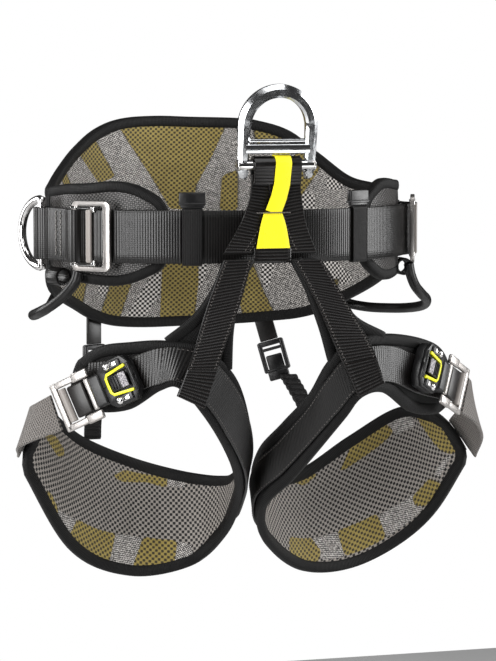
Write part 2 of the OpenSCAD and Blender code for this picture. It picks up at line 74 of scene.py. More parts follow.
# Belt pad edges, as (angle from the middle of the back, height)
BACK_TOP = [
    (-90, 33), (-80, 33), (-70, 36), (-59, 47), (-48, 62), (-37, 76), (-26, 84), (-13, 86), (0, 85),
    (16, 84), (24, 82), (36, 74), (48, 56), (62, 38), (76, 33), (90, 31),
]
BACK_BOTTOM = [
    (-90, -33), (-80, -38), (-70, -48), (-60, -56), (-49, -65), (-40, -74), (-30, -81), (-17, -84),
    (-1, -84), (16, -83), (28, -81), (40, -78), (52, -71), (64, -60), (78, -48), (90, -38),
]
SIDE_TOP = [(92, 34), (106, 37), (117, 38), (127, 40), (134, 39), (140, 34), (145, 26), (148, 12)]
SIDE_BOTTOM = [(92, -32), (106, -34), (117, -36), (127, -37), (134, -35), (140, -30), (145, -23), (148, -10)]
RING_PHI = {"left": 97, "right": 82}
BUCKLE_PHI = {"left": 124, "right": 108}
BAR_PHI = {"left": 117.8, "right": 101.2}
KEEPER_PHI = {"left": 155, "right": 149}
PAD_SHORT = {"left": 0, "right": 3}  # degrees that a side pad's free end is drawn back

# Leg loop edges: the edge towards the body, then the edge towards the knee
LEG_TOP = {
    "left": [
        (-145, -72, -95), (-131, -86, -83), (-113, -102, -79), (-90, -118, -77), (-63, -126, -82),
        (-38, -118, -103), (-20, -95, -134), (-8, -62, -164), (-4, -25, -190), (-6, 14, -199),
        (-31, 40, -197), (-71, 46, -185), (-119, 22, -163), (-154, -14, -136),
    ],
    "right": [
        (160, -58, -110), (146, -72, -93), (122, -92, -83), (86, -114, -77), (53, -126, -80),
        (37, -120, -98), (31, -100, -122), (20, -72, -146), (12, -40, -170), (22, 0, -198),
        (70, 38, -200), (116, 46, -175), (157, 38, -152), (181, 10, -155),
    ],
}
LEG_BOTTOM = {
    "left": [
        (-148, -72, -124), (-133, -84, -130), (-112, -100, -127), (-94, -118, -112), (-81, -126, -110),
        (-58, -116, -133), (-34, -92, -162), (-14, -58, -190), (-4, -24, -216), (-6, 8, -246),
        (-25, 32, -271), (-74, 36, -277), (-126, 20, -252), (-174, -12, -180),
    ],
    "right": [
        (158, -56, -139), (143, -70, -143), (116, -90, -138), (86, -114, -120), (63, -126, -121),
        (53, -116, -138), (40, -92, -165), (29, -62, -192), (16, -30, -219), (30, 0, -251),
        (70, 25, -279), (122, 32, -277), (172, 20, -244), (196, -12, -188),
    ],
}
# Risers and leg straps between the bridge's feet and the leg loops: edge towards +X, then towards -X
RISER = {
    "left": (
        [(-23, -125, -16), (-33, -127, -36), (-40, -127, -66), (-40, -122, -98)],
        [(-46, -125, -16), (-54, -126, -36), (-70, -125, -58), (-90, -119, -75)],
    ),
    "right": (
        [(28, -125, -16), (41, -126, -38), (57, -126, -61), (84, -117, -75)],
        [(6, -125, -16), (17, -127, -37), (29, -127, -68), (38, -123, -94)],
    ),
}
STRAP = {
    "left": (
        [(-26, -126, -16), (-35, -127, -47), (-50, -128, -86), (-65, -130, -126)],
        [(-48, -126, -16), (-62, -127, -52), (-74, -128, -88), (-86, -130, -116)],
    ),
    "right": (
        [(29, -126, -17), (52, -127, -55), (69, -128, -84), (78, -130, -111)],
        [(7, -126, -17), (24, -127, -49), (41, -128, -87), (57, -130, -121)],
    ),
}
ADJUST_TOP = {
    "left": [(-163, -14, -140), (-172, -34, -132), (-172, -55, -126), (-166, -71, -119)],
    "right": [(190, 8, -157), (192, -18, -140), (185, -44, -124), (175, -64, -117)],
}
ADJUST_BOTTOM = {
    "left": [(-177, -12, -172), (-182, -34, -163), (-172, -60, -153), (-159, -79, -145)],
    "right": [(204, -12, -186), (200, -34, -170), (186, -56, -156), (166, -72, -144)],
}
ELASTIC_PATH = {
    "left": [(-86, 87, -127), (-92, 73, -140), (-99, 55, -156), (-103, 42, -167)],
    "right": [(78, 93, -127), (83, 80, -141), (88, 64, -158), (91, 50, -174)],
}
# Gear loops as (angle, distance outside the padding, height)
GEAR_PATH = {
    "left": [
        (118, 8.5, -27), (117, 9.5, -35), (113, 11, -45), (107, 13, -54), (100, 14, -60),
        (90, 11, -64), (80, 8, -66), (67, 8, -67), (56, 9, -64), (50, 11, -56),
    ],
    "right": [
        (114, 8.5, -27), (113, 10, -36), (110, 13, -45), (105, 18, -52), (99, 24, -58),
        (90, 28, -64), (80, 29, -68), (70, 27, -70), (60, 24, -70), (53, 18, -66), (49, 11, -56),
    ],
}
BUCKLE_AT = {"left": (-126, -108, -108), "right": (130, -99, -107)}
BUCKLE_YAW = {"left": -40, "right": -38}
BUCKLE_RISE = 25

# Panels of the back lining, as outlines of (angle, height)
BACK_OLIVE = [
    [(-31, 90), (15, 90), (7, 53), (1, 29), (0, 11), (-8, 11), (-15, 38)],
    [(-50, 64), (-40, 74), (-29, 38), (-37, 34)],
    [(-62, 42), (-58, 48), (-52, 30), (-58, 30)],
    [(11, 38), (17, 43), (17, 8), (10, 8)],
    [(35, 48), (42, 60), (50, 44), (43, 25), (39, 8), (34, 8)],
    [(22, 84), (32, 84), (35, 66), (24, 64)],
    [(-53, -40), (-43, -40), (-46, -66), (-54, -60)],
    [(-31, -44), (-22, -44), (-28, -80), (-37, -76)],
    [(-11, -30), (2, -24), (2, -50), (0, -90), (-12, -90)],
    [(18, -24), (21, -24), (27, -58), (33, -84), (20, -90), (17, -60)],
    [(49, -46), (60, -46), (54, -62), (48, -66)],
]
BACK_OPEN = [
    [(-37, -42), (-31, -42), (-34, -60), (-38, -54)],
    [(-15, -42), (-9, -36), (-11, -56), (-20, -84), (-27, -82)],
    [(2, -28), (6, -28), (4, -50), (2, -60)],
    [(26, -28), (32, -28), (30, -46), (28, -58), (26, -46)],
    [(40, 12), (43, 26), (48, 22), (48, 10)],
    [(54, 38), (64, 33), (58, 26), (52, 29)],
    [(44, -28), (56, -28), (68, -46), (54, -54), (48, -48)],
]
# Patches of the leg linings, as outlines of (place along the loop, share across it)
LEG_OLIVE = {
    "left": [
        [(13, 0.36), (12.7, 0.22), (12.35, 0.26), (12.55, 0.40)],
        [(12.8, 1.05), (12.55, 0.80), (12.35, 0.86), (12.45, 1.05)],
        [(11.4, 0.22), (11.15, 0.12), (10.3, 0.08), (10.3, 0.19), (10.7, 0.17), (11.2, 0.23)],
        [(12.0, 0.72), (11.3, 0.68), (11.4, 0.94), (12.15, 0.98)],
        [(10.8, 0.66), (10.2, 0.71), (10.3, 0.95), (11.0, 0.95)],
    ],
    "right": [
        [(11.6, 0.02), (11.8, 0.17), (11.5, 0.20), (10.7, 0.22), (11.0, 0.06)],
        [(12.3, 0.0), (12.8, 0.0), (13.1, 0.5), (12.9, 0.80), (12.7, 0.58), (12.5, 0.25)],
        [(12.5, 0.9), (12.1, 0.9), (11.9, 0.82), (11.9, 0.73), (12.3, 0.72)],
        [(11.3, 0.68), (11.4, 0.9), (10.7, 0.9), (10.6, 0.67)],
        [(9.6, 0.70), (10.1, 0.68), (10.3, 0.82), (10.2, 0.95), (9.6, 0.95)],
        [(9.7, 0.06), (10.2, 0.04), (10.3, 0.12), (10.0, 0.15)],
    ],
}
LEG_DENSE = {
    "left": [
        [(12.5, 0.90), (12.0, 0.72), (12.1, 1.0), (12.5, 1.05)],
        [(11.3, 0.68), (10.8, 0.66), (11.0, 0.98), (11.4, 0.98)],
        [(10.2, 0.72), (9.9, 0.80), (9.9, 0.95), (10.3, 0.98)],
        [(10.3, 0.06), (9.9, 0.06), (9.9, 0.16), (10.3, 0.17)],
        [(11.3, 0.12), (11.15, 0.16), (11.15, 0.22), (11.3, 0.24)],
    ],
    "right": [
        [(11.7, 0.02), (12.2, 0.0), (12.3, 0.19), (11.8, 0.20)],
        [(12.0, 0.73), (12.0, 0.9), (11.4, 0.9), (11.3, 0.70)],
        [(10.6, 0.68), (10.7, 0.9), (10.3, 0.9), (10.1, 0.69)],
        [(12.9, 0.74), (12.5, 0.82), (12.4, 0.72), (12.7, 0.70)],
    ],
}


# ---- surfaces and curves, in millimetres ----

def on_curve(points, t):
    """The place at t on a smooth curve through the points, where t counts points."""
    last = len(points) - 1
    i = min(max(int(t), 0), last - 1)
    f = t - i
    b, c = points[i], points[i + 1]
    a = points[i - 1] if i > 0 else 2 * b - c
    d = points[i + 2] if i + 2 <= last else 2 * c - b
    bend = (2 * a - 5 * b + 4 * c - d) * f * f
    return 0.5 * (2 * b + (c - a) * f + bend + (3 * b - a - 3 * c + d) * f ** 3)


def smooth(points, steps):
    """A smooth line through the points, with steps sections between two of them."""
    knots = [Vector(p) for p in points]
    return [on_curve(knots, i / steps) for i in range((len(knots) - 1) * steps + 1)]


def spread(first, last, count):
    return [first + (last - first) * i / (count - 1) for i in range(count)]


def half_width(phi, side=1):
    return BELT_A - (TUCK if side > 0 and math.sin(math.radians(phi)) > 0 else 0)


def waist(phi, z, out=0.0, side=1):
    """A point of the belt, a distance outside the padding's outer face; side -1 mirrors it to the left."""
    turn = math.radians(phi)
    return Vector((side * (half_width(phi, side) + out) * math.sin(turn), (BELT_B + out) * math.cos(turn), z))


def ribbon(edge_a, edge_b, outward=1):
    """The surface between two edges, as a function of s along, v across from edge a to b, and h outwards."""
    a = [Vector(p) for p in edge_a]
    b = [Vector(p) for p in edge_b]

    @functools.lru_cache(None)
    def ring(s):
        lo, hi = max(s - SAMPLE, 0), min(s + SAMPLE, len(a) - 1)
        ahead = on_curve(a, hi) + on_curve(b, hi) - on_curve(a, lo) - on_curve(b, lo)
        p, q = on_curve(a, s), on_curve(b, s)
        return p, q, ahead.cross(p - q).normalized() * outward

    def place(s, v, h=0.0):
        p, q, n = ring(s)
        return p + (q - p) * v + n * h

    return place


def belt_face(top, bottom, side=1):
    """The same for a pad on the belt, between edges of (angle, height)."""
    a = [Vector(p) for p in top]
    b = [Vector(p) for p in bottom]

    @functools.lru_cache(None)
    def ring(s):
        return on_curve(a, s), on_curve(b, s)

    def place(s, v, h=0.0):
        p, q = ring(s)
        at = p + (q - p) * v
        return waist(at.x, at.y, h, side)

    return place


def belt_band(side=1, half=WEB_W / 2):
    """Webbing round the belt: s is the angle, v runs from its upper edge to its lower one."""
    def place(s, v, h=0.0):
        return waist(s, half * (1 - 2 * v), h, side)

    return place


def on_belt(phi, out, side):
    """The frame of a piece on the belt: x along the belt, y outwards, z up."""
    angle = math.radians(phi)
    turn = math.atan2(-BELT_B * math.sin(angle), half_width(phi, side) * math.cos(angle))
    flip = Matrix.Diagonal((side, 1, 1, 1))
    return flip @ Matrix.Translation(flip @ waist(phi, 0, out, side)) @ Matrix.Rotation(turn, 4, "Z")


def buckle_frame(side):
    """The frame of a leg buckle: x towards the strap junction, -y outwards, z across the webbing."""
    turn = Matrix.Rotation(math.radians(BUCKLE_YAW[side]), 4, "Z")
    rise = Matrix.Rotation(math.radians(-BUCKLE_RISE), 4, "Y")
    flip = Matrix.Diagonal((-SIDES[side], 1, 1, 1))
    return Matrix.Translation(BUCKLE_AT[side]) @ flip @ turn @ rise


def depth_in(outline, x, y, unit_x, unit_y):
    """How far a point is inside an outline, in millimetres; negative outside."""
    best = 1e9
    inside = False
    for (ax, ay), (bx, by) in zip(outline, outline[1:] + outline[:1]):
        if (ay > y) != (by > y) and x < ax + (bx - ax) * (y - ay) / (by - ay):
            inside = not inside
        ex, ey = (bx - ax) * unit_x, (by - ay) * unit_y
        px, py = (x - ax) * unit_x, (y - ay) * unit_y
        f = min(max((px * ex + py * ey) / (ex * ex + ey * ey), 0), 1)
        best = min(best, math.hypot(px - ex * f, py - ey * f))
    return best if inside else -best


def deepest(outlines, x, y, unit_x, unit_y):
    return max(depth_in(outline, x, y, unit_x, unit_y) for outline in outlines)


# ---- mesh building ----

def mapped_grid(columns, rows, where, uv, closed=False, layers=None, material_of=None):
    """A grid whose corner (i, j) goes to where(i, j); closed joins its last row to its first and caps it."""
    bm = bmesh.new()
    uv_layer = bm.loops.layers.uv.new("UVMap")
    for name in layers or {}:
        bm.verts.layers.float.new(name)
    values = [(bm.verts.layers.float[name], value_at) for name, value_at in (layers or {}).items()]
    bmesh.ops.create_grid(bm, x_segments=columns, y_segments=rows, size=0.5)
    cells = {v: (round((v.co.x + 0.5) * columns), round((v.co.y + 0.5) * rows)) for v in bm.verts}
    for face in bm.faces:
        for loop in face.loops:
            loop[uv_layer].uv = uv(*cells[loop.vert])
        if material_of:
            face.material_index = material_of(min(cells[v][1] for v in face.verts))
    for v, cell in cells.items():
        for layer, value_at in values:
            v[layer] = value_at(*cell)
        v.co = where(*cell)
    if closed:
        bmesh.ops.remove_doubles(bm, verts=bm.verts, dist=0.001)
        bmesh.ops.holes_fill(bm, edges=[e for e in bm.edges if e.is_boundary], sides=0)
        bmesh.ops.recalc_face_normals(bm, faces=bm.faces)
    return bm


def loft(place, stations, section, layers=None, material_of=None, flat=None):
    """A closed strip on a surface: section(s) is its outline at s as (v, h) pairs.

    flat(s, v) lays its pattern out in millimetres, where run and width alone would shear it.
    """
    outlines = [section(s) for s in stations]
    rings = [[place(s, v, h) for v, h in outline] for s, outline in zip(stations, outlines)]
    middles = [place(s, 0.5) for s in stations]
    widths = [(place(s, 1) - place(s, 0)).length for s in stations]
    run = [0.0]
    for before, after in zip(middles, middles[1:]):
        run.append(run[-1] + (after - before).length)
    count = len(rings[0])
    values = {
        name: (lambda i, j, f=f: f(stations[i], *outlines[i][j % count], j % count))
        for name, f in (layers or {}).items()
    }

    def pattern(i, j):
        v = outlines[i][j % count][0]
        return flat(stations[i], v) if flat else (run[i], (v - 0.5) * widths[i])

    return mapped_grid(
        len(stations) - 1, count,
        lambda i, j: rings[i][j % count],
        pattern, closed=True, layers=values, material_of=material_of,
    )


def sweep(points, ups, outline, ring=False, scale_at=None):
    """An outline carried along points. Its first coordinate lies along ups, its second beside it."""
    last = len(points) - 1
    rings, run = [], [0.0]
    for i, point in enumerate(points):
        after = points[(i + 1) % len(points)] if ring else points[min(i + 1, last)]
        before = points[i - 1] if ring else points[max(i - 1, 0)]
        ahead = (after - before).normalized()
        up = ups[i] if isinstance(ups, list) else Vector(ups)
        beside = ahead.cross(up).normalized()
        up = beside.cross(ahead).normalized()
        size = scale_at(i / max(last, 1)) if scale_at else 1
        rings.append([point + (up * x + beside * y) * size for x, y in outline])
        run.append(run[-1] + (after - point).length)
    count = len(outline)
    around = [0.0]
    for k in range(count):
        (ax, ay), (bx, by) = outline[k], outline[(k + 1) % count]
        around.append(around[-1] + math.hypot(bx - ax, by - ay))
    columns = len(points) if ring else last
    return mapped_grid(
        columns, count,
        lambda i, j: rings[i % len(points)][j % count],
        lambda i, j: (run[i], around[j]),
        closed=True,
    )


def circle(radius, sides):
    return [(radius * math.cos(2 * math.pi * k / sides), radius * math.sin(2 * math.pi * k / sides))
            for k in range(sides)]


def join(bm, part):
    """Adds one mesh being built to another."""
    mesh = bpy.data.meshes.new("part")
    part.to_mesh(mesh)
    bm.from_mesh(mesh)
    bpy.data.meshes.remove(mesh)


def boxed(half_x, half_y, corner, steps=3):
    """A rectangle with round corners, as an outline."""
    points = []
    for quarter, (sx, sy) in enumerate(((1, 1), (-1, 1), (-1, -1), (1, -1))):
        for k in range(steps + 1):
            turn = math.radians(90 * quarter + 90 * k / steps)
            points.append((
                sx * (half_x - corner) + corner * math.cos(turn),
                sy * (half_y - corner) + corner * math.sin(turn),
            ))
    return points


def block(bm, size, matrix, round_edges, segments=3):
    """A box with bevelled edges."""
    made = bmesh.ops.create_cube(bm, size=1, matrix=Matrix.Diagonal((*size, 1)))
    edges = list({e for v in made["verts"] for e in v.link_edges})
    result = bmesh.ops.bevel(
        bm, geom=edges, offset=round_edges, segments=segments, profile=0.5, affect="EDGES", material=-1,
        clamp_overlap=True,
    )
    verts = {v for v in result["verts"]} | {v for v in made["verts"] if v.is_valid}
    bmesh.ops.transform(bm, matrix=matrix, verts=list(verts))


def block_at(bm, place, at, size, round_edges, segments=3):
    """The same, at a point of a piece's own frame."""
    block(bm, size, place @ Matrix.Translation(at), round_edges, segments)


def plate(bm, outline, thickness, matrix, round_edges):
    """A flat plate from an outline in its own x and z, with bevelled rims."""
    face = bm.faces.new([bm.verts.new((x, -thickness / 2, z)) for x, z in outline])
    verts = list(face.verts)
    pushed = bmesh.ops.extrude_face_region(bm, geom=[face])
    moved = [g for g in pushed["geom"] if isinstance(g, bmesh.types.BMVert)]
    bmesh.ops.translate(bm, vec=(0, thickness, 0), verts=moved)
    verts = list(set(verts) | set(moved))
    edges = {e for v in verts for e in v.link_edges if e.is_manifold and e.calc_face_angle(0) > 1.2}
    made = bmesh.ops.bevel(
        bm, geom=list(edges), offset=round_edges, segments=2, profile=0.5, affect="EDGES", material=-1,
    )
    verts = [v for v in set(verts) | set(made["verts"]) if v.is_valid]
    bmesh.ops.transform(bm, matrix=matrix, verts=verts)


def finish_piece(name, bm, materials, body, replaces=(), flat_over=40):
    """Turns millimetres to metres, hands the mesh to Blender, parents it to the body it rides on and hides
    the CAD parts it replaces.
    """
    bmesh.ops.recalc_face_normals(bm, faces=bm.faces)
    bmesh.ops.scale(bm, vec=(MM, MM, MM), verts=bm.verts)
    mesh = bpy.data.meshes.new(name)
    bm.to_mesh(mesh)
    bm.free()
    mesh.polygons.foreach_set("use_smooth", [True] * len(mesh.polygons))
    mesh.set_sharp_from_angle(angle=math.radians(flat_over))
    for material in materials if isinstance(materials, (list, tuple)) else [materials]:
        mesh.materials.append(material)
    piece = bpy.data.objects.new(name, mesh)
    bpy.context.scene.collection.objects.link(piece)
    if body:
        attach(piece, body)
    if replaces:
        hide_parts(*replaces)
    return piece


def subdivide(piece):
    """Rounds a piece with one level of subdivision."""
    finer = piece.modifiers.new("rounding", "SUBSURF")
    finer.levels = 1
    finer.render_levels = 1


def stitches(name, lines, body, thread, pitch=3.0, length=2.4, width=0.7, lean=0.0):
    """Rows of thread, one small bead a stitch. A line is points and the directions that face out there."""
    bm = bmesh.new()
    for points, ups in lines:
        run = 0.0
        count = 0
        for i in range(len(points) - 1):
            step = points[i + 1] - points[i]
            while run < step.length:
                ahead = step.normalized()
                up = ups[i] if isinstance(ups, list) else Vector(ups)
                side = up.cross(ahead).normalized()
                turn = lean if count % 2 else -lean
                along = ahead * math.cos(turn) + side * math.sin(turn)
                across = up.cross(along).normalized()
                basis = Matrix((along * length / 2, across * width / 2, up * width / 2)).transposed().to_4x4()
                at = Matrix.Translation(points[i] + ahead * run)
                bmesh.ops.create_icosphere(bm, subdivisions=1, radius=1, matrix=at @ basis)
                run += pitch
                count += 1
            run -= step.length
    return finish_piece(name, bm, thread, body, flat_over=180)


def seam_line(place, path, h):
    """Points and outward directions along (s, v) places of a surface."""
    points = [place(s, v, h) for s, v in path]
    ups = [(place(s, v, h + 1) - place(s, v, h)).normalized() for s, v in path]
    return points, ups


def edging(name, place, path, width, thickness, tape, body, ring=False):
    """Binding tape folded over a pad's edge, along (s, v) places of its surface."""
    points = [place(s, v) for s, v in path]
    ups = [(place(s, v, 1) - place(s, v)).normalized() for s, v in path]
    inset = width * 0.36
    outline = []
    for k in range(16):
        turn = 2 * math.pi * k / 16
        c, s = math.cos(turn), math.sin(turn)
        across = math.copysign(abs(s) ** 0.75, s) * width / 2
        outline.append((math.copysign(abs(c) ** 0.6, c) * thickness / 2, across + inset))
    return finish_piece(name, sweep(points, ups, outline, ring), tape, body, flat_over=180)


# ---- materials ----

def linear(colour):
    """A linear colour from an sRGB hex value."""
    parts = [int(colour[i:i + 2], 16) / 255 for i in (1, 3, 5)]
    return [p / 12.92 if p <= 0.04045 else ((p + 0.055) / 1.055) ** 2.4 for p in parts] + [1.0]


def add(material, kind, inputs=None, **settings):
    """Adds a shader node with its settings, and links or sets its inputs."""
    tree = material.node_tree
    node = tree.nodes.new("ShaderNode" + kind)
    for name, value in settings.items():
        setattr(node, name, value)
    for key, value in (inputs or {}).items():
        if isinstance(value, bpy.types.NodeSocket):
            tree.links.new(value, node.inputs[key])
        else:
            node.inputs[key].default_value = value
    return node


def new_material(name, **sockets):
    """A material whose shader sockets are set, such as Roughness=0.5."""
    material = bpy.data.materials.new(name)
    material.use_nodes = True
    shader = material.node_tree.nodes["Principled BSDF"]
    for socket, value in sockets.items():
        shader.inputs[socket.replace("_", " ")].default_value = value
    return material, shader


def finish_material(material, shader, colour=None, height=None, distance=0.2, rough=None):
    """Links a pattern's colour, its height in millimetres as a bump, and its roughness to the shader."""
    links = material.node_tree.links
    if colour is not None:
        links.new(colour, shader.inputs["Base Color"])
    if rough is not None:
        links.new(rough, shader.inputs["Roughness"])
    if height is not None:
        bump = add(material, "Bump", {"Height": height, "Distance": distance * MM, "Strength": 1.0})
        links.new(bump.outputs["Normal"], shader.inputs["Normal"])
    return material


def waves(material, pitch_u, pitch_v, turn=0.0):
    """Cosines of the piece's UV map, one wave each pitch_u and pitch_v millimetres."""
    source = add(material, "UVMap", uv_map="UVMap").outputs["UV"]
    turned = add(material, "Mapping", {"Vector": source, "Rotation": (0, 0, math.radians(turn))})
    scaled = add(material, "Mapping", {
        "Vector": turned.outputs["Vector"],
        "Scale": (2 * math.pi / pitch_u, 2 * math.pi / pitch_v, 1),
    })
    split = add(material, "SeparateXYZ", {"Vector": scaled.outputs["Vector"]})
    along = add(material, "Math", {0: split.outputs["X"]}, operation="COSINE")
    across = add(material, "Math", {0: split.outputs["Y"]}, operation="COSINE")
    return along.outputs[0], across.outputs[0]


def blotches(material, size, detail=2.0):
    """Soft noise on Object coordinates, one blotch each size millimetres."""
    place = add(material, "TexCoord").outputs["Object"]
    noise = add(material, "TexNoise", {"Vector": place, "Scale": 1 / (size * MM), "Detail": detail})
    return noise.outputs["Fac"]


def ramp(material, value, low, high, out_low=0.0, out_high=1.0):
    """value between low and high made a smooth step from out_low to out_high."""
    node = add(material, "MapRange", {
        "Value": value, "From Min": low, "From Max": high, "To Min": out_low, "To Max": out_high,
    }, interpolation_type="SMOOTHSTEP")
    return node.outputs["Result"]


def mixed(material, share, first, second):
    """Two colours mixed; each is a hex value or a socket."""
    colours = [c if isinstance(c, bpy.types.NodeSocket) else linear(c) for c in (first, second)]
    node = add(material, "Mix", {0: share, 6: colours[0], 7: colours[1]}, data_type="RGBA")
    return node.outputs[2]


def ribbed_webbing(name, pitch, dark, light, sheen):
    """Polyester webbing, woven with cross ribs: each rib catches the light, and yarns cross it."""
    m, shader = new_material(
        name, Roughness=0.31, Specular_IOR_Level=0.38, Sheen_Weight=sheen, Sheen_Roughness=0.35,
    )
    shader.inputs["Sheen Tint"].default_value = linear("#d8d0cc")
    rib, _ = waves(m, pitch, 1.0)
    _, yarn = waves(m, 1.0, 1.5)
    woven = add(m, "Math", {0: yarn, 1: 0.3, 2: rib}, operation="MULTIPLY_ADD").outputs[0]
    worn = blotches(m, 9)
    tone = add(m, "Math", {0: worn, 1: 1.0, 2: woven}, operation="MULTIPLY_ADD").outputs[0]
    colour = mixed(m, ramp(m, tone, -0.8, 1.9), dark, light)
    return finish_material(m, shader, colour, woven, 0.05)


def twill_webbing():
    """Polyester adjustment webbing, woven as a twill: fine slanted yarns, worn to a soft grey."""
    m, shader = new_material("polyester_twill_webbing", Roughness=0.5, Sheen_Weight=0.2, Sheen_Roughness=0.4)
    slant, _ = waves(m, 2.2, 1.0, turn=38)
    other, _ = waves(m, 2.2, 1.0, turn=-38)
    woven = add(m, "Math", {0: slant, 1: other}, operation="MAXIMUM").outputs[0]
    colour = mixed(m, ramp(m, woven, -0.6, 1.0), "#1d1b1a", "#6c6661")
    return finish_material(m, shader, colour, woven, 0.2)


def lining(name, unit_u, unit_v, rest, hole_from):
    """Knitted polyester spacer mesh: grey looped yarn, olive panels with small pits, and open diamond net.

    unit_u and unit_v are the net's pitches, rest its yarn, and a higher hole_from makes its holes smaller.
    """
    m, shader = new_material(name, Roughness=0.75, Sheen_Weight=0.05, Sheen_Roughness=0.5)
    olive = ramp(m, add(m, "Attribute", attribute_name="olive").outputs["Fac"], -0.4, 0.4)
    seam = add(m, "Attribute", attribute_name="seam").outputs["Fac"]
    net_share = ramp(m, add(m, "Attribute", attribute_name="net").outputs["Fac"], -0.4, 0.4)
    a, b = waves(m, unit_u, unit_v, turn=4)
    net = add(m, "Math", {0: a, 1: b}, operation="MULTIPLY").outputs[0]
    c, d = waves(m, 2.3, 1.9, turn=20)
    fleck = add(m, "Math", {0: c, 1: d}, operation="MULTIPLY").outputs[0]
    hole = ramp(m, net, hole_from, hole_from + 0.3)
    pit = ramp(m, net, -0.15, 0.5)
    stray = blotches(m, 1.3, 3)
    looped = add(m, "Math", {0: stray, 1: 3.2, 2: fleck}, operation="MULTIPLY_ADD").outputs[0]
    knit = ramp(m, looped, 1.1, 2.4)
    patch = blotches(m, 14, 3)
    yarn = mixed(m, knit, "#262422", "#d2cdc8")
    open_net = mixed(m, hole, rest, "#040303")
    grey = mixed(m, net_share, yarn, open_net)
    olive_light = mixed(m, patch, "#9c8b49", "#7f6e34")
    olive_yarn = mixed(m, pit, olive_light, "#2c2409")
    colour = mixed(m, olive, grey, olive_yarn)
    # Painted shadow: the colour darkens towards #171205 within about 2 mm of a panel seam, standing for the
    # shade in the seam's crease.
    colour = mixed(m, ramp(m, seam, 0.2, 1.8, 0.75, 0.0), colour, "#171205")
    sunk = add(m, "Math", {0: hole, 1: -1.0}, operation="MULTIPLY").outputs[0]
    height = add(m, "Mix", {0: net_share, 2: knit, 3: sunk}, data_type="FLOAT").outputs[0]
    height = add(m, "Mix", {0: olive, 2: height, 3: sunk}, data_type="FLOAT").outputs[0]
    return finish_material(m, shader, colour, height, 0.5)


def coarse_mesh():
    """Black knitted air mesh: round pits between yarns, on the outside of the pads; the yarns' grey colour is
    a painted highlight on black yarn.
    """
    m, shader = new_material("black_air_mesh", Roughness=0.42, Sheen_Weight=0.04, Sheen_Roughness=0.4)
    a, b = waves(m, 3.4, 3.0, turn=8)
    net = add(m, "Math", {0: a, 1: b}, operation="MULTIPLY").outputs[0]
    yarn = ramp(m, net, 0.35, -0.35)
    # Painted highlight: the yarns are coloured grey (#4e4b49) though the mesh is black, standing for the
    # light on their tops; the pits stay black.
    colour = mixed(m, yarn, "#020202", "#4e4b49")
    return finish_material(m, shader, colour, yarn, 0.7)


def binding_tape():
    """Nylon grosgrain tape, woven: a soft black with a faint lit nap, and fine ribs."""
    m, shader = new_material(
        "nylon_binding_tape", Roughness=0.55, Specular_IOR_Level=0.18, Sheen_Weight=0.015,
    )
    rib, _ = waves(m, 1.3, 1.0)
    nap = blotches(m, 5, 4)
    tone = add(m, "Math", {0: nap, 1: 1.4, 2: rib}, operation="MULTIPLY_ADD").outputs[0]
    colour = mixed(m, ramp(m, tone, -0.6, 2.2), "#050505", "#0f0e0e")
    return finish_material(m, shader, colour, tone, 0.1)


def plain_cloth():
    """Black polyester shell cloth, plain woven: fine threads with a dull face."""
    m, shader = new_material(
        "polyester_shell_cloth", Roughness=0.6, Specular_IOR_Level=0.2, Sheen_Weight=0.02,
    )
    a, b = waves(m, 1.6, 1.6)
    woven = add(m, "Math", {0: a, 1: b}, operation="MULTIPLY").outputs[0]
    colour = mixed(m, ramp(m, woven, -1, 1), "#040404", "#100f0f")
    return finish_material(m, shader, colour, woven, 0.15)


def yellow_webbing():
    """Dyed polyester tape, plain woven: a strong even yellow with fine threads."""
    m, shader = new_material("yellow_polyester_tape", Roughness=0.6, Sheen_Weight=0.1)
    a, b = waves(m, 1.4, 1.4)
    woven = add(m, "Math", {0: a, 1: b}, operation="MULTIPLY").outputs[0]
    colour = mixed(m, ramp(m, woven, -1, 1), "#f3e300", "#fff200")
    return finish_material(m, shader, colour, woven, 0.08)


def elastic_cloth():
    """Rubber elastic in a knitted polyester cover: dull black, with fine slanted stitches."""
    m, shader = new_material("knitted_elastic", Roughness=0.5, Specular_IOR_Level=0.22, Sheen_Weight=0.02)
    a, _ = waves(m, 1.5, 1.0, turn=35)
    b, _ = waves(m, 1.5, 1.0, turn=-35)
    woven = add(m, "Math", {0: a, 1: b}, operation="MULTIPLY").outputs[0]
    colour = mixed(m, ramp(m, woven, -1, 1), "#050505", "#110f0f")
    return finish_material(m, shader, colour, woven, 0.15)


def thread(name, colour):
    """Bonded polyester sewing thread: a slight shine on twisted strands."""
    m, shader = new_material(name, Roughness=0.45)
    fine = blotches(m, 0.8)
    return finish_material(m, shader, mixed(m, ramp(m, fine, 0.3, 0.7), colour, "#4a4643"), fine, 0.1)


def polished_aluminium():
    """Forged aluminium, tumbled and polished: bright, with a faint soft ripple."""
    m, shader = new_material("polished_aluminium", Metallic=1.0, Roughness=0.14)
    ripple = blotches(m, 9, 2)
    colour = mixed(m, ramp(m, ripple, 0.3, 0.7), "#cdced0", "#b8babc")
    return finish_material(m, shader, colour, ripple, 0.12, ramp(m, ripple, 0.3, 0.7, 0.1, 0.2))


def frosted_steel():
    """Stainless steel plate, stamped and bead-blasted: an even pale grey with a fine grain."""
    m, shader = new_material("bead_blasted_steel", Metallic=1.0, Roughness=0.38)
    grain = blotches(m, 1.2, 4)
    wear = blotches(m, 16, 3)
    colour = mixed(m, ramp(m, wear, 0.35, 0.7), "#bdb9b6", "#a29e9b")
    return finish_material(m, shader, colour, grain, 0.05, ramp(m, wear, 0.35, 0.7, 0.32, 0.45))


def bright_steel():
    """Stainless steel rod, polished: mirror bright with small marks of wear."""
    m, shader = new_material("polished_steel", Metallic=1.0, Roughness=0.12)
    wear = blotches(m, 6, 4)
    colour = mixed(m, ramp(m, wear, 0.4, 0.75), "#dcdbda", "#b9b6b4")
    return finish_material(m, shader, colour, wear, 0.08, ramp(m, wear, 0.4, 0.75, 0.08, 0.24))


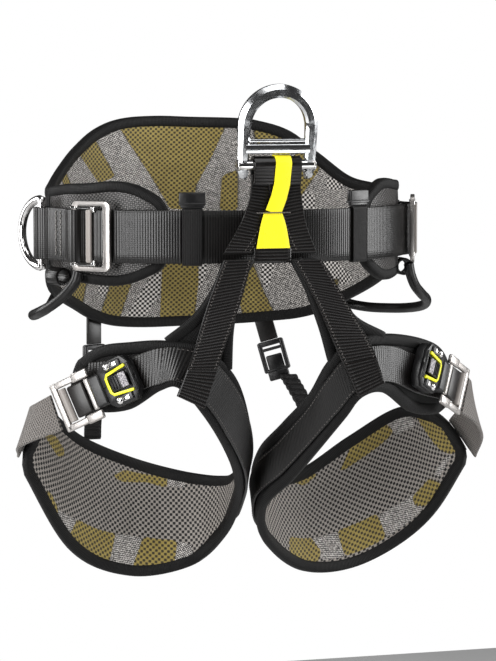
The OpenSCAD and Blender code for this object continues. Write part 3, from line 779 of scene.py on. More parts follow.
def moulded_plastic():
    """Glass-filled nylon, injection moulded: black, with a fine spark-eroded grain and dull corners."""
    m, shader = new_material("moulded_black_nylon", Roughness=0.34, Specular_IOR_Level=0.45)
    grain = blotches(m, 0.9, 3)
    wear = blotches(m, 11, 2)
    colour = mixed(m, ramp(m, wear, 0.35, 0.75), "#0d0d0e", "#1c1b1c")
    return finish_material(m, shader, colour, grain, 0.04, ramp(m, wear, 0.3, 0.7, 0.28, 0.42))


def grey_plastic():
    """Grey acetal rod, turned with fine rings: a dull satin."""
    m, shader = new_material("turned_grey_acetal", Roughness=0.4)
    ring, _ = waves(m, 1.2, 1.0)
    colour = mixed(m, ramp(m, ring, -1, 1), "#57534f", "#8e8883")
    return finish_material(m, shader, colour, ring, 0.15)


def rough_plastic():
    """Sintered grey patch on the button: a coarse, pale, crystalline grain."""
    m, shader = new_material("rough_grey_plastic", Roughness=0.5)
    grain = blotches(m, 1.1, 4)
    colour = mixed(m, ramp(m, grain, 0.35, 0.65), "#55525a", "#b9b5b8")
    return finish_material(m, shader, colour, grain, 0.4)


def yellow_plastic():
    """Polyamide, injection moulded in yellow: an even satin."""
    m, shader = new_material("moulded_yellow_nylon", Roughness=0.35)
    wear = blotches(m, 4)
    colour = mixed(m, ramp(m, wear, 0.3, 0.7), "#f0ec1a", "#d9d800")
    return finish_material(m, shader, colour, wear, 0.03)


def moulded_rubber():
    """Thermoplastic rubber, extruded with fine ridges along it: soft black with a dull shine."""
    m, shader = new_material("ridged_rubber_tube", Roughness=0.36, Specular_IOR_Level=0.35)
    wear = blotches(m, 8, 3)
    colour = mixed(m, ramp(m, wear, 0.3, 0.7), "#0b0a0a", "#161515")
    return finish_material(m, shader, colour, wear, 0.05)


WEBBING = ribbed_webbing("black_polyester_webbing", 2.0, "#020202", "#12100f", 0.01)
STRAP_WEBBING = ribbed_webbing("black_leg_strap_webbing", 2.5, "#030303", "#191615", 0.02)
TWILL = twill_webbing()
BACK_LINING = lining("back_spacer_mesh", 4.4, 3.9, "#cfcac5", -0.16)
LEG_LINING = lining("leg_spacer_mesh", 4.8, 4.6, "#8d8781", -0.08)
AIR_MESH = coarse_mesh()
TAPE = binding_tape()
SHELL = plain_cloth()
YELLOW_TAPE = yellow_webbing()
ELASTIC = elastic_cloth()
GREY_THREAD = thread("grey_bonded_thread", "#5b5653")
PALE_THREAD = thread("pale_bonded_thread", "#a8a5a1")
ALUMINIUM = polished_aluminium()
FROSTED = frosted_steel()
BRIGHT = bright_steel()
PLASTIC = moulded_plastic()
GREY_BAR = grey_plastic()
ROUGH = rough_plastic()
YELLOW_LINE = yellow_plastic()
RUBBER = moulded_rubber()


# ---- pads ----

def pad_section(lo, hi, rim, rows):
    """A pad's outline across: its inner face from edge to edge, then its outer face back."""
    mid = (lo + hi) / 2
    fullness = 5.0
    inner, outer = [], []
    for k in range(rows + 1):
        v = 0.5 - 0.5 * math.cos(math.pi * k / rows)
        crown = 1 - abs(2 * v - 1) ** fullness
        inner.append((v, mid - rim - (mid - rim - lo) * crown))
        outer.append((v, mid + rim + (hi - mid - rim) * crown))
    return inner + outer[::-1]


def puff(piece, held, cap):
    """Swells a padded piece with air pressure while its seams are held, then keeps the result."""
    pressure, frames = 4.0, 20
    group = piece.vertex_groups.new(name="held")
    group.add(held, 1.0, "REPLACE")
    air = piece.modifiers.new("air", "CLOTH")
    air.settings.vertex_group_mass = "held"
    air.settings.use_pressure = True
    air.settings.uniform_pressure_force = pressure
    air.settings.effector_weights.gravity = 0
    air.point_cache.frame_end = frames
    for step in range(1, frames + 1):
        bpy.context.scene.frame_set(step)
    swollen = piece.evaluated_get(bpy.context.evaluated_depsgraph_get()).data
    places = [v.co.copy() for v in swollen.vertices]
    piece.modifiers.remove(air)
    piece.vertex_groups.remove(group)
    bpy.context.scene.frame_set(1)
    for v, place in zip(piece.data.vertices, places):
        move = place - v.co
        if move.length > cap * MM:
            move *= cap * MM / move.length
        v.co += move


def padded_piece(name, place, stations, section, rows, layers, skins, body, node, cap, flat=None):
    """A padded piece: its shell, the swelling between its seams, its rounding, and its place on its body."""
    bm = loft(place, stations, section, layers, lambda row: 0 if row < rows else 1, flat)
    firm = bm.verts.layers.float["firm"]
    bm.verts.index_update()
    held = [v.index for v in bm.verts if v[firm] > 0.5]
    piece = finish_piece(name, bm, skins, body, [node], flat_over=180)
    puff(piece, held, cap)
    subdivide(piece)
    return piece


def rim_firmness(v):
    """1 at a pad's edges, where the binding holds it, and 0 inside."""
    return 1.0 if v < 0.03 or v > 0.97 else 0.0


def back_pad():
    """Back pad: spacer mesh with olive panels towards the wearer, air mesh outside."""
    rows = 44
    top = [Vector(p) for p in BACK_TOP]
    bottom = [Vector(p) for p in BACK_BOTTOM]

    def olive(s, v, h, j):
        at = on_curve(top, s).lerp(on_curve(bottom, s), v)
        return deepest(BACK_OLIVE, at.x, at.y, DEGREE_BACK, 1) if j <= rows else -9.0

    def net(s, v, h, j):
        at = on_curve(top, s).lerp(on_curve(bottom, s), v)
        return deepest(BACK_OPEN, at.x, at.y, DEGREE_BACK, 1) if j <= rows else -9.0

    depth = functools.lru_cache(None)(olive)

    def seam(s, v, h, j):
        return abs(depth(s, v, h, j)) if j <= rows else 9.0

    def firm(s, v, h, j):
        under_web = j > rows and abs(v - 0.5) < 0.28
        on_seam = j <= rows and seam(s, v, h, j) < 1.6
        return 1.0 if under_web or on_seam or rim_firmness(v) > 0 else 0.0

    def flat(s, v):
        at = on_curve(top, s).lerp(on_curve(bottom, s), v)
        return at.x * DEGREE_BACK, at.y

    place = belt_face(BACK_TOP, BACK_BOTTOM)
    stations = spread(0, 15, 151)
    padded_piece(
        "back_pad", place, stations, lambda s: pad_section(-7.6, -1.0, 2.2, rows), rows,
        {"olive": depth, "net": net, "seam": seam, "firm": firm},
        [BACK_LINING, AIR_MESH], "belt", "back_pad", 1.6, flat,
    )

    def middle(s, v, h=0.0):
        return place(s, v, h - 4.6)

    rim = [(s, 1) for s in spread(0, 15, 120)] + [(s, 0) for s in spread(15, 0, 120)]
    edging("back_pad_binding", middle, rim, 9, 7.4, TAPE, "belt", ring=True)


def shortened(edge, degrees):
    """A side pad's edge with its free end drawn back."""
    straight, last = 127, edge[-1][0]
    return [(phi - degrees * max(0, phi - straight) / (last - straight), z) for phi, z in edge]


def side_pad(side):
    """Side pad between the belt and the hip: air mesh outside, bound round its free end."""
    rows = 20
    edges = [shortened(edge, PAD_SHORT[side]) for edge in (SIDE_TOP, SIDE_BOTTOM)]
    place = belt_face(*edges, SIDES[side])

    def firm(s, v, h, j):
        return 1.0 if rim_firmness(v) > 0 or s < 0.2 or s > 6.8 else 0.0

    padded_piece(
        f"{side}_side_pad", place, spread(0, 7, 57), lambda s: pad_section(-8.0, -0.6, 2.4, rows), rows,
        {"firm": firm}, [AIR_MESH, AIR_MESH], "belt", f"{side}_side_pad", 1.4,
    )

    def middle(s, v, h=0.0):
        return place(s, v, h - 4.2)

    rim = [(s, 1) for s in spread(0, 6.8, 60)] + [(6.95, 0.88), (7.02, 0.7), (7.05, 0.5), (7.02, 0.3)]
    rim += [(6.95, 0.12)] + [(s, 0) for s in spread(6.8, 0, 60)]
    rim = rim if side == "right" else rim[::-1]
    edging(f"{side}_side_pad_binding", middle, rim, 9, 8.2, TAPE, "belt")


def leg_face(side):
    return ribbon(LEG_TOP[side], LEG_BOTTOM[side], 1 if side == "left" else -1)


def leg_pad(side):
    """Leg loop pad: open spacer mesh towards the thigh, shell cloth outside."""
    rows = 24
    place = leg_face(side)

    def patch(outlines):
        return lambda s, v, h, j: deepest(outlines, s, v, 45, 85) if j <= rows else -9.0

    dense = patch(LEG_DENSE[side])

    def firm(s, v, h, j):
        return 1.0 if rim_firmness(v) > 0 or j > rows or s < 0.2 or s > 12.8 else 0.0

    padded_piece(
        f"{side}_leg_pad", place, spread(0, 13, 157), lambda s: pad_section(-3.6, 3.0, 1.7, rows), rows,
        {
            "olive": patch(LEG_OLIVE[side]),
            "net": lambda s, v, h, j: -dense(s, v, h, j),
            "seam": lambda s, v, h, j: 9.0,
            "firm": firm,
        },
        [LEG_LINING, SHELL], f"{side}_leg", f"{side}_leg_pad", 1.2,
    )
    rim = [(s, 1) for s in spread(12.9, 0.12, 150)] + [(0.03, 0.94), (-0.05, 0.8), (-0.1, 0.5), (-0.05, 0.2)]
    rim += [(0.03, 0.06)] + [(s, 0) for s in spread(0.12, 12.9, 150)]
    rim += [(12.97, 0.06), (13.03, 0.2), (13.05, 0.5), (13.03, 0.8), (12.97, 0.94)]
    rim = rim if side == "left" else rim[::-1]
    edging(f"{side}_leg_binding", place, rim, 10, 7.6, TAPE, f"{side}_leg", ring=True)


def riser_pad(side):
    """Padded riser between the bridge and the leg loop, bound down both edges."""
    rows = 12
    place = ribbon(*RISER[side])

    def firm(s, v, h, j):
        return 1.0 if rim_firmness(v) > 0 or s < 0.1 or s > 2.9 else 0.0

    padded_piece(
        f"{side}_riser_pad", place, spread(0, 3, 37), lambda s: pad_section(-2.6, 2.4, 1.4, rows), rows,
        {"firm": firm}, [SHELL, SHELL], f"{side}_leg", f"{side}_riser_pad", 0.5,
    )
    for name, v, way in (("inner", 0, 1), ("outer", 1, -1)):
        path = [(s, v) for s in spread(0.14, 3, 36)][::way]
        edging(f"{side}_riser_binding_{name}", place, path, 9, 6.0, TAPE, f"{side}_leg")


# ---- webbing ----

def strap_section(lo, hi, rows=6):
    """The outline of flat webbing with softly rounded edges."""
    soft, corner = (hi - lo) * 0.28, 0.02
    inside = [(corner + (1 - 2 * corner) * k / rows) for k in range(rows + 1)]
    bottom = [(0.0, lo + soft)] + [(v, lo) for v in inside] + [(1.0, lo + soft)]
    top = [(1.0, hi - soft)] + [(v, hi) for v in inside[::-1]] + [(0.0, hi - soft)]
    return bottom + top


def strap(name, place, first, last, count, lo, hi, cloth, body, replaces=()):
    section = strap_section(lo, hi)
    bm = loft(place, spread(first, last, count), lambda s: section)
    return finish_piece(name, bm, cloth, body, replaces)


def edge_rows(place, first, last, shares, h, count=60):
    """Stitch lines along a strap, at shares of its width."""
    return [seam_line(place, [(s, v) for s in spread(first, last, count)], h) for v in shares]


def belt_webbing():
    for name, first, last, count in (("back_webbing", -94, 94, 95), ("front_webbing", 106, 238, 100)):
        strap(name, belt_band(), first, last, count, WEB_IN, WEB_OUT, WEBBING, "belt",
              [name])
    rows = edge_rows(belt_band(), -90, 90, (0.06, 0.94), WEB_OUT, 160)
    stitches("back_webbing_stitches", rows, "belt", GREY_THREAD)


def ring_strap(side):
    """Side webbing: one band folded round the side ring and the buckle's bar, sewn between them."""
    turns = [
        (0, 0, 13.9), (0, -3.6, 12.4), (0, -4.9, 9), (0, -3.6, 5.5), (0, 0, 4.3), (0, 10, 4.5),
        (1, -15.6, 4.5), (1, -4.6, 5.4), (1, 0, 6.8), (1, 2.8, 8.0), (1, 3.7, 10.5), (1, 2.6, 13.0),
        (1, 0, 14.2), (1, -4.6, 12.4), (1, -10.6, 8.2), (1, -16.6, 6.9), (0, 12, 6.9), (0, 6, 8.6),
    ]
    anchors = (RING_PHI[side], BAR_PHI[side])
    knots = [Vector((anchors[end] + along / DEGREE_SIDE, out, 0)) for end, along, out in turns]
    line = []
    for i in range(len(knots)):
        four = [knots[(i + k) % len(knots)] for k in (-1, 0, 1, 2)]
        line += [on_curve(four, 1 + f / 4) for f in range(4)]
    points = [waist(p.x, 0, p.y, SIDES[side]) for p in line]
    bm = sweep(points, (0, 0, 1), boxed(WEB_W / 2, WEB_T / 2, 0.6), ring=True)
    finish_piece(f"{side}_ring_strap", bm, WEBBING, "belt", [f"{side}_ring_strap"])
    band = belt_band(SIDES[side], 17)
    lines = []
    for along in (19.5, 25):
        phi = RING_PHI[side] + along / DEGREE_SIDE
        lines.append(seam_line(band, [(phi, v) for v in spread(0, 1, 40)], 8.2))
    stitches(f"{side}_ring_strap_stitches", lines, "belt", PALE_THREAD, 2.0, 3.0, 0.8, 0.7)


def keeper(side):
    """Elastic keeper round the belt, with a moulded tab on top."""
    place = on_belt(KEEPER_PHI[side], 1.7, SIDES[side])
    loop = []
    for x, y in boxed(21.0, 2.4, 1.6, 4):
        loop.append(place @ Vector((0, y, x)))
    along = (place.to_3x3() @ Vector((1, 0, 0))).normalized()
    bm = sweep(loop, along, boxed(7.6, 0.6, 0.3, 2), ring=True)
    finish_piece(f"{side}_keeper_band", bm, ELASTIC, "belt", [f"{side}_keeper"])
    tab = bmesh.new()
    block_at(tab, place, (0, 0, 29.2), (20, 4.6, 8.6), 1.0)
    block_at(tab, place, (0, 0, 23.6), (18, 3.6, 4), 0.8)
    block_at(tab, place, (0, 0, 24.6), (20.6, 5.2, 1.8), 0.6)
    finish_piece(f"{side}_keeper_tab", tab, PLASTIC, "belt")


# ---- waist buckles and side rings ----

def side_ring(side):
    """Polished steel D ring, folded back along the belt."""
    radius, bar, folded_back = 26, 3.2, 168
    turned = Matrix.Rotation(math.radians(folded_back), 4, "Z")
    place = on_belt(RING_PHI[side], RING_OUT, SIDES[side]) @ turned
    bow = [Vector((radius * math.sin(math.radians(a)), 0, -radius * math.cos(math.radians(a))))
           for a in spread(0, 180, 40)]
    path = [place @ p for p in bow + [Vector((0, 0, z)) for z in spread(radius - 3, 3 - radius, 14)]]
    up = (place.to_3x3() @ Vector((0, 1, 0))).normalized()
    bm = sweep(path, up, circle(bar, 16), ring=True)
    finish_piece(f"{side}_side_ring", bm, BRIGHT, f"{side}_side_ring", [f"{side}_side_ring"],
                 flat_over=80)


def waist_frame(side):
    """Stamped steel frame: a round bar, two legs, and a flat bowed crossbar."""
    place = on_belt(BUCKLE_PHI[side], BUCKLE_OUT, SIDES[side])
    bm = bmesh.new()
    outer = []
    for x, z in boxed(16.5, 26.5, 4, 5):
        bow = 2.2 * (1 - (z / 26.5) ** 2) if x > 12 else 0
        outer.append((x + bow, z))
    rim = [bm.verts.new((x, -1.7, z)) for x, z in outer]
    inner = [bm.verts.new((max(min(x * 0.68 + (0.4 if x > 0 else -1.6), 11.2), -13.2), -1.7, z * 0.865))
             for x, z in outer]
    ring_edges = []
    for loop in (rim, inner):
        for k in range(len(loop)):
            ring_edges.append(bm.edges.new((loop[k], loop[(k + 1) % len(loop)])))
    bmesh.ops.bridge_loops(bm, edges=ring_edges)
    pushed = bmesh.ops.extrude_face_region(bm, geom=list(bm.faces))
    moved = [g for g in pushed["geom"] if isinstance(g, bmesh.types.BMVert)]
    bmesh.ops.translate(bm, vec=(0, 3.4, 0), verts=moved)
    sharp = [e for e in bm.edges if e.is_manifold and e.calc_face_angle(0) > 1.2]
    bmesh.ops.bevel(bm, geom=sharp, offset=0.6, segments=2, profile=0.5, affect="EDGES", material=-1)
    bmesh.ops.transform(bm, matrix=place, verts=bm.verts)
    finish_piece(f"{side}_waist_frame", bm, FROSTED, "belt", [f"{side}_waist_frame"])


def waist_plate(side):
    """Bright hooked plate that tilts on the frame's bar, with the grey bar that grips the webbing."""
    place = on_belt(BUCKLE_PHI[side], BUCKLE_OUT, SIDES[side]) @ Matrix.Translation((-14.8, 0, 0))
    bm = bmesh.new()
    for z in (-21.5, 21.5):
        block_at(bm, place, (9, -0.2, z), (20, 3.4, 1.9), 0.5)
        block_at(bm, place, (17.2, -0.2, z * 0.94), (3.6, 4.4, 4.6), 1.0)
        block_at(bm, place, (0, 0, z), (4.6, 5.4, 1.9), 0.6)
    block_at(bm, place, (14, -0.8, 0), (4.0, 1.5, 42), 0.4)
    finish_piece(f"{side}_waist_plate", bm, BRIGHT, f"{side}_waist_plate",
                 [f"{side}_waist_plate"])
    bar = bmesh.new()
    block_at(bar, place, (14, 2.0, 0), (4.6, 3.2, WEB_W), 1.1, 4)
    finish_piece(f"{side}_waist_bar", bar, GREY_BAR, f"{side}_waist_plate", [f"{side}_waist_bar"])


def buckle_tail(side):
    """Belt webbing that passes from the belt through the waist buckle's frame."""
    band = belt_band(SIDES[side])
    start = BUCKLE_PHI[side]

    def rising(s, v, h=0.0):
        share = min(max((start + 10 - s) / 10, 0), 1)
        return band(s, v, h + 5.4 * share * share * (3 - 2 * share))

    strap(f"{side}_buckle_tail", rising, start - 5, KEEPER_PHI[side] - 3, 34, WEB_OUT + 0.2,
          WEB_OUT + 0.2 + WEB_T, WEBBING, "belt")


# ---- ventral ring and bridge ----

RING_FRAME = Matrix.Translation((-5, BRIDGE_Y, PIN_Z)) @ Matrix.Rotation(math.radians(8), 4, "X")


def ventral_ring():
    """Forged aluminium ring: a wide bevelled bow, a crossbar with a rib above it, and two hooked legs."""
    radius, bow_z = 26.4, 29.5
    path = [Vector((-radius + 3.6, 0, -7.4)), Vector((-radius + 0.8, 0, -6.6)), Vector((-radius, 0, -3.4))]
    path += [Vector((-radius, 0, z)) for z in spread(0, bow_z - 2, 8)]
    path += [Vector((-radius * math.cos(math.radians(a)), 0, bow_z + radius * math.sin(math.radians(a))))
             for a in spread(4, 176, 44)]
    path += [Vector((-p.x, p.y, p.z)) for p in path[10::-1]]
    points = [RING_FRAME @ p for p in path]
    up = (RING_FRAME.to_3x3() @ Vector((0, -1, 0))).normalized()
    half_depth, half_band = 4.0, 5.0
    profile = [(-2.2, half_band), (2.4, half_band), (half_depth, half_band - 1.8), (half_depth, -1.6),
               (1.4, -half_band), (-1.4, -half_band), (-half_depth, -1.6), (-half_depth, half_band - 1.8)]
    bm = sweep(points, up, profile, scale_at=lambda t: 0.74 + 0.26 * min(1, min(t, 1 - t) * 5))
    bar = sweep([RING_FRAME @ Vector((x, 0, 12.6)) for x in spread(-25, 25, 12)], up, boxed(3.9, 3.7, 1.3, 3))
    rib = sweep([RING_FRAME @ Vector((x, 0, 18.6)) for x in spread(-24, 24, 12)], up, boxed(2.0, 1.3, 0.9, 3))
    for part in (bar, rib):
        join(bm, part)
    finish_piece("ring", bm, ALUMINIUM, "ring", ["ring"], flat_over=32)
    pin = bmesh.new()
    across = RING_FRAME @ Matrix.Rotation(math.radians(90), 4, "Y")
    bmesh.ops.create_cone(pin, cap_ends=True, segments=32, radius1=4, radius2=4, depth=58, matrix=across)
    finish_piece("ring_pin", pin, BRIGHT, "ring", ["ring_pin"])
    screws = bmesh.new()
    for x in (-29.9, 29.9):
        head = RING_FRAME @ Matrix.Translation((x, 0, 0)) @ Matrix.Rotation(math.radians(90), 4, "Y")
        made = bmesh.ops.create_cone(screws, cap_ends=True, segments=28, radius1=4.6, radius2=4.6, depth=1.6,
                                     matrix=head)
        rims = {e for v in made["verts"] for e in v.link_edges if e.calc_face_angle(0) > 1}
        bmesh.ops.bevel(screws, geom=list(rims), offset=0.5, segments=2, profile=0.5, affect="EDGES",
                        material=-1)
    finish_piece("ring_screws", screws, BRIGHT, "ring", ["ring_screws"])


def bridge():
    """V of webbing from the ring's pin to the two feet, under a yellow wear strip."""
    y = BRIDGE_Y
    bands = {
        "left": ([(3, y, 47), (-2, y, 24), (-12, y, 5), (-24, y, -12)],
                 [(-23.5, y, 47), (-26, y, 28), (-33, y, 10), (-46, y, -12)]),
        "right": ([(13.5, y, 47), (15, y, 28), (19, y, 8), (27, y, -12)],
                  [(-13, y, 47), (-8, y, 24), (-3, y, 5), (5, y, -12)]),
    }
    for side, (a, b) in bands.items():
        place = ribbon(a, b)
        lo, hi = (-2.1, 0.0) if side == "left" else (0.0, 2.1)
        stood_for = ["bridge_web"] if side == "left" else []
        strap(f"bridge_{side}_band", place, 0, 3, 40, lo, hi, STRAP_WEBBING, "belt",
              stood_for)
        rows = edge_rows(place, 1.2, 2.95, (0.12, 0.3) if side == "left" else (0.7, 0.88), hi)
        stitches(f"bridge_{side}_stitches", rows, "belt", GREY_THREAD, 3.2, 2.2, 0.7)
    loop = [Vector((-5, BRIDGE_Y + 5.7 * math.cos(a), PIN_Z + 5.7 * math.sin(a)))
            for a in (math.radians(x) for x in range(-20, 205, 8))]
    wrap = sweep([Vector((-5, -120.5, 40))] + loop + [Vector((-5, -127.2, 40))], (1, 0, 0),
                 boxed(18.5, 1.1, 0.5, 2))
    finish_piece("bridge_wrap", wrap, STRAP_WEBBING, "belt")
    over = [Vector((-1, BRIDGE_Y + 7.4 * math.cos(a), PIN_Z + 7.4 * math.sin(a)))
            for a in (math.radians(x) for x in range(60, 180, 10))]
    line = over + [Vector((-1.6, -131.2, 50)), Vector((-2, -129.6, 40)), Vector((-4, -128, 30)),
                   Vector((-8.4, -127.6, 18.5))]
    strip = sweep(line, (1, 0, 0), boxed(6.2, 0.5, 0.2, 2))
    finish_piece("wear_strip", strip, YELLOW_TAPE, "belt", ["wear_strip"])
    flare = ribbon([(-1.4, -127.4, 19), (2, -127.4, 8), (5, -127.4, -8)],
                   [(-15.4, -127.4, 19), (-18.4, -127.4, 8), (-21.4, -127.4, -8)])
    strap("wear_patch", flare, 0, 2, 20, -0.5, 0.5, YELLOW_TAPE, "belt")
    bar = ribbon([(6, -126.4, -7.5), (6, -126.4, -17.5)], [(-23, -126.4, -7.5), (-23, -126.4, -17.5)])
    strap("bridge_bar", bar, 0, 1, 4, -0.8, 0.8, STRAP_WEBBING, "belt")
    row = [(Vector((x, -128.4, 18.6)), Vector((0, -1, 0))) for x in spread(-21, 6, 30)]
    line = ([p for p, _ in row], [u for _, u in row])
    stitches("bridge_bar_tack", [line], "belt", GREY_THREAD, 1.5, 1.7, 1.2)


# ---- leg straps, webbing and buckles ----

def leg_straps(side):
    """Leg strap down the riser, sewn in zigzag along both edges and folded at its end."""
    body = f"{side}_leg"
    place = ribbon(*STRAP[side])
    strap(f"{side}_leg_strap", place, 0, 3, 44, 3.6, 5.8, STRAP_WEBBING, body,
          [f"{side}_leg_strap"])
    rows = edge_rows(place, 0.05, 2.7, (0.09, 0.91), 5.8)
    stitches(f"{side}_leg_strap_stitches", rows, body, GREY_THREAD, 2.6, 2.4, 0.6, 0.8)
    fold = loft(place, spread(2.3, 3.0, 12), lambda s: strap_section(5.8, 7.2))
    finish_piece(f"{side}_leg_strap_fold", fold, STRAP_WEBBING, body)
    face = leg_face(side)

    def webbing_place(s, v, h=0.0):
        width = (face(s, 1) - face(s, 0)).length
        half = min(28, width - 6) / 2 / width
        return face(s, 0.5 + (2 * v - 1) * half, h)

    strap(f"{side}_leg_webbing", webbing_place, 3, 13, 120, 4.3, 6.5, WEBBING, body,
          [f"{side}_leg_webbing"])
    rows = edge_rows(webbing_place, 3.1, 12.9, (0.07, 0.93), 6.5, 160)
    stitches(f"{side}_leg_webbing_stitches", rows, body, GREY_THREAD, 3.4, 2.2, 0.6)
    strap(f"{side}_buckle_webbing", webbing_place, 0.7, 3.1, 30, 4.3, 6.5, STRAP_WEBBING, body)


def adjust_webbing(side):
    """Adjustment webbing from the leg pad's end to the buckle's frame."""
    place = ribbon(ADJUST_TOP[side], ADJUST_BOTTOM[side], 1 if side == "left" else -1)
    section = strap_section(-1.1, 1.1)
    bm = loft(place, spread(-0.15, 3, 40), lambda s: section)
    piece = finish_piece(f"{side}_adjust_webbing", bm, TWILL, None,
                         [f"{side}_adjust_webbing"])
    start = place(0.6, 0.5) * MM
    end = place(2.9, 0.5) * MM
    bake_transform(piece, f"{side}_leg", f"{side}_tongue", start=tuple(start), end=tuple(end))


def leg_buckle(side):
    """Leg buckle: moulded housing with a pocket for its button, yellow outline, rivets, tongue and frame."""
    place = buckle_frame(side)
    front = place.to_3x3() @ Vector((0, -1, 0))
    leg, tongue, button = f"{side}_leg", f"{side}_tongue", f"{side}_button"
    housing = bmesh.new()
    shell = [(-8, -13), (-3, -17.6), (14, -17.6), (18.6, -11), (18.6, 11), (14, 17.6), (-3, 17.6), (-8, 13)]
    plate(housing, shell, 7.2, place @ Matrix.Translation((0, 2.4, 0)), 0.8)
    pocket = [(-8, 0), (-8, 13), (-3, 17.6), (14, 17.6), (18.6, 11), (18.6, 0),
              (14.7, 0), (14.7, 6.6), (-1.4, 6.6), (-1.4, 0)]
    for half in (1, -1):
        rim = [(x, z * half) for x, z in pocket]
        plate(housing, rim, 3.2, place @ Matrix.Translation((0, -2.8, 0)), 0.7)
    block_at(housing, place, (-13.2, 0.4, 0), (11, 10.8, 24), 2.2)
    for z in (-13.2, 13.2):
        block_at(housing, place, (5.5, -5.0, z), (15, 2.2, 6.4), 1.0)
    block_at(housing, place, (17.4, -4.4, 0), (2.0, 2.4, 22), 0.7)
    finish_piece(f"{side}_buckle_housing", housing, PLASTIC, leg, [f"{side}_buckle_housing"])
    line = [Vector((15.5, -5.4, 9.8)), Vector((-1.0, -5.4, 7.8)), Vector((-2.6, -5.4, 5.4)),
            Vector((-2.8, -5.4, 0)), Vector((-2.6, -5.4, -5.4)), Vector((-1.0, -5.4, -7.8)),
            Vector((15.5, -5.4, -9.8))]
    bm = sweep([place @ p for p in line], front, boxed(1.0, 1.1, 0.3, 2))
    finish_piece(f"{side}_buckle_outline", bm, YELLOW_LINE, leg)
    press = bmesh.new()
    block_at(press, place, (6.6, -5.4, 0), (15.0, 2.6, 12.2), 0.9)
    for x in (0.6, 3.0, 5.4):
        arc = [Vector((x + 0.9 * math.cos(math.radians(a * 8)), -6.9, a * 0.8)) for a in range(-6, 7)]
        rib = sweep([place @ p for p in arc], front, circle(0.45, 6))
        join(press, rib)
    finish_piece(f"{side}_buckle_button", press, PLASTIC, button, [f"{side}_buckle_button"])
    patch = bmesh.new()
    block_at(patch, place, (11.0, -6.9, 0), (5.6, 1.2, 11.4), 0.4)
    finish_piece(f"{side}_button_patch", patch, ROUGH, button)
    rivets = bmesh.new()
    for z in (-13.5, 13.5):
        dome = place @ Matrix.Translation((1.4, -6.0, z)) @ Matrix.Diagonal((2.7, 1.7, 2.7, 1))
        bmesh.ops.create_uvsphere(rivets, u_segments=20, v_segments=12, radius=1, matrix=dome)
        block_at(rivets, place, (7.4, -6.2, z), (5.6, 1.1, 3.4), 0.5)
    finish_piece(f"{side}_buckle_rivets", rivets, BRIGHT, leg, [f"{side}_buckle_rivets"],
                 flat_over=60)
    tongue_bm = bmesh.new()
    block_at(tongue_bm, place, (-14.5, -3.4, 0), (13.5, 4.2, 24.5), 2.0, 4)
    finish_piece(f"{side}_buckle_tongue", tongue_bm, PLASTIC, tongue,
                 [f"{side}_buckle_tongue"])
    frame_bm = bmesh.new()
    block_at(frame_bm, place, (-46.4, -3.6, 0), (5.2, 3.0, 38), 1.1)
    for z in (-16.6, 16.6):
        block_at(frame_bm, place, (-33.5, -3.6, z), (28, 3.0, 5.0), 1.0)
        block_at(frame_bm, place, (-22.6, -4.2, z), (14.5, 3.2, 7.0), 1.3)
    block_at(frame_bm, place, (-18.6, -5.0, 0), (4.2, 3.0, 25), 1.2)
    finish_piece(f"{side}_leg_frame", frame_bm, FROSTED, tongue, [f"{side}_leg_frame"])
    roll = bmesh.new()
    turned = place @ Matrix.Translation((-40.6, -3.4, 0))
    bmesh.ops.create_cone(roll, cap_ends=True, segments=24, radius1=3, radius2=3, depth=26, matrix=turned)
    finish_piece(f"{side}_leg_roller", roll, GREY_BAR, tongue, [f"{side}_leg_roller"])
    fold = bmesh.new()
    block_at(fold, place, (-29.4, -3.4, 0), (14, 3.6, 25), 1.6)
    finish_piece(f"{side}_buckle_fold", fold, STRAP_WEBBING, tongue)


# ---- loops and rear suspension ----

def gear_loop(side):
    """Moulded gear loop: a rubber tube with fine ridges along it."""
    path = []
    for phi, out, z in GEAR_PATH[side]:
        path.append(waist(phi, z, out, SIDES[side]))
    points = smooth(path, 10)
    outline = []
    for k in range(40):
        radius = 4.0 - (0.35 if k % 2 else 0.0)
        turn = 2 * math.pi * k / 40
        outline.append((radius * math.cos(turn), radius * math.sin(turn)))
    bm = sweep(points, (SIDES[side], 1, 0), outline)
    finish_piece(f"{side}_gear_loop", bm, RUBBER, "belt", [f"{side}_gear_loop"],
                 flat_over=180)


def accessory_loop(side):
    """Folded webbing loop under the side strap."""
    place = on_belt(RING_PHI[side] + 10, 7.4, SIDES[side]) @ Matrix.Translation((0, 0, -32))
    ring = [place @ Vector((0, 5.9 * math.cos(a), 5.9 * math.sin(a)))
            for a in (math.radians(x) for x in range(0, 360, 12))]
    along = (place.to_3x3() @ Vector((1, 0, 0))).normalized()
    bm = sweep(ring, along, boxed(7, 1.1, 0.5, 2), ring=True)
    finish_piece(f"{side}_accessory_loop", bm, WEBBING, "belt", [f"{side}_accessory_loop"])


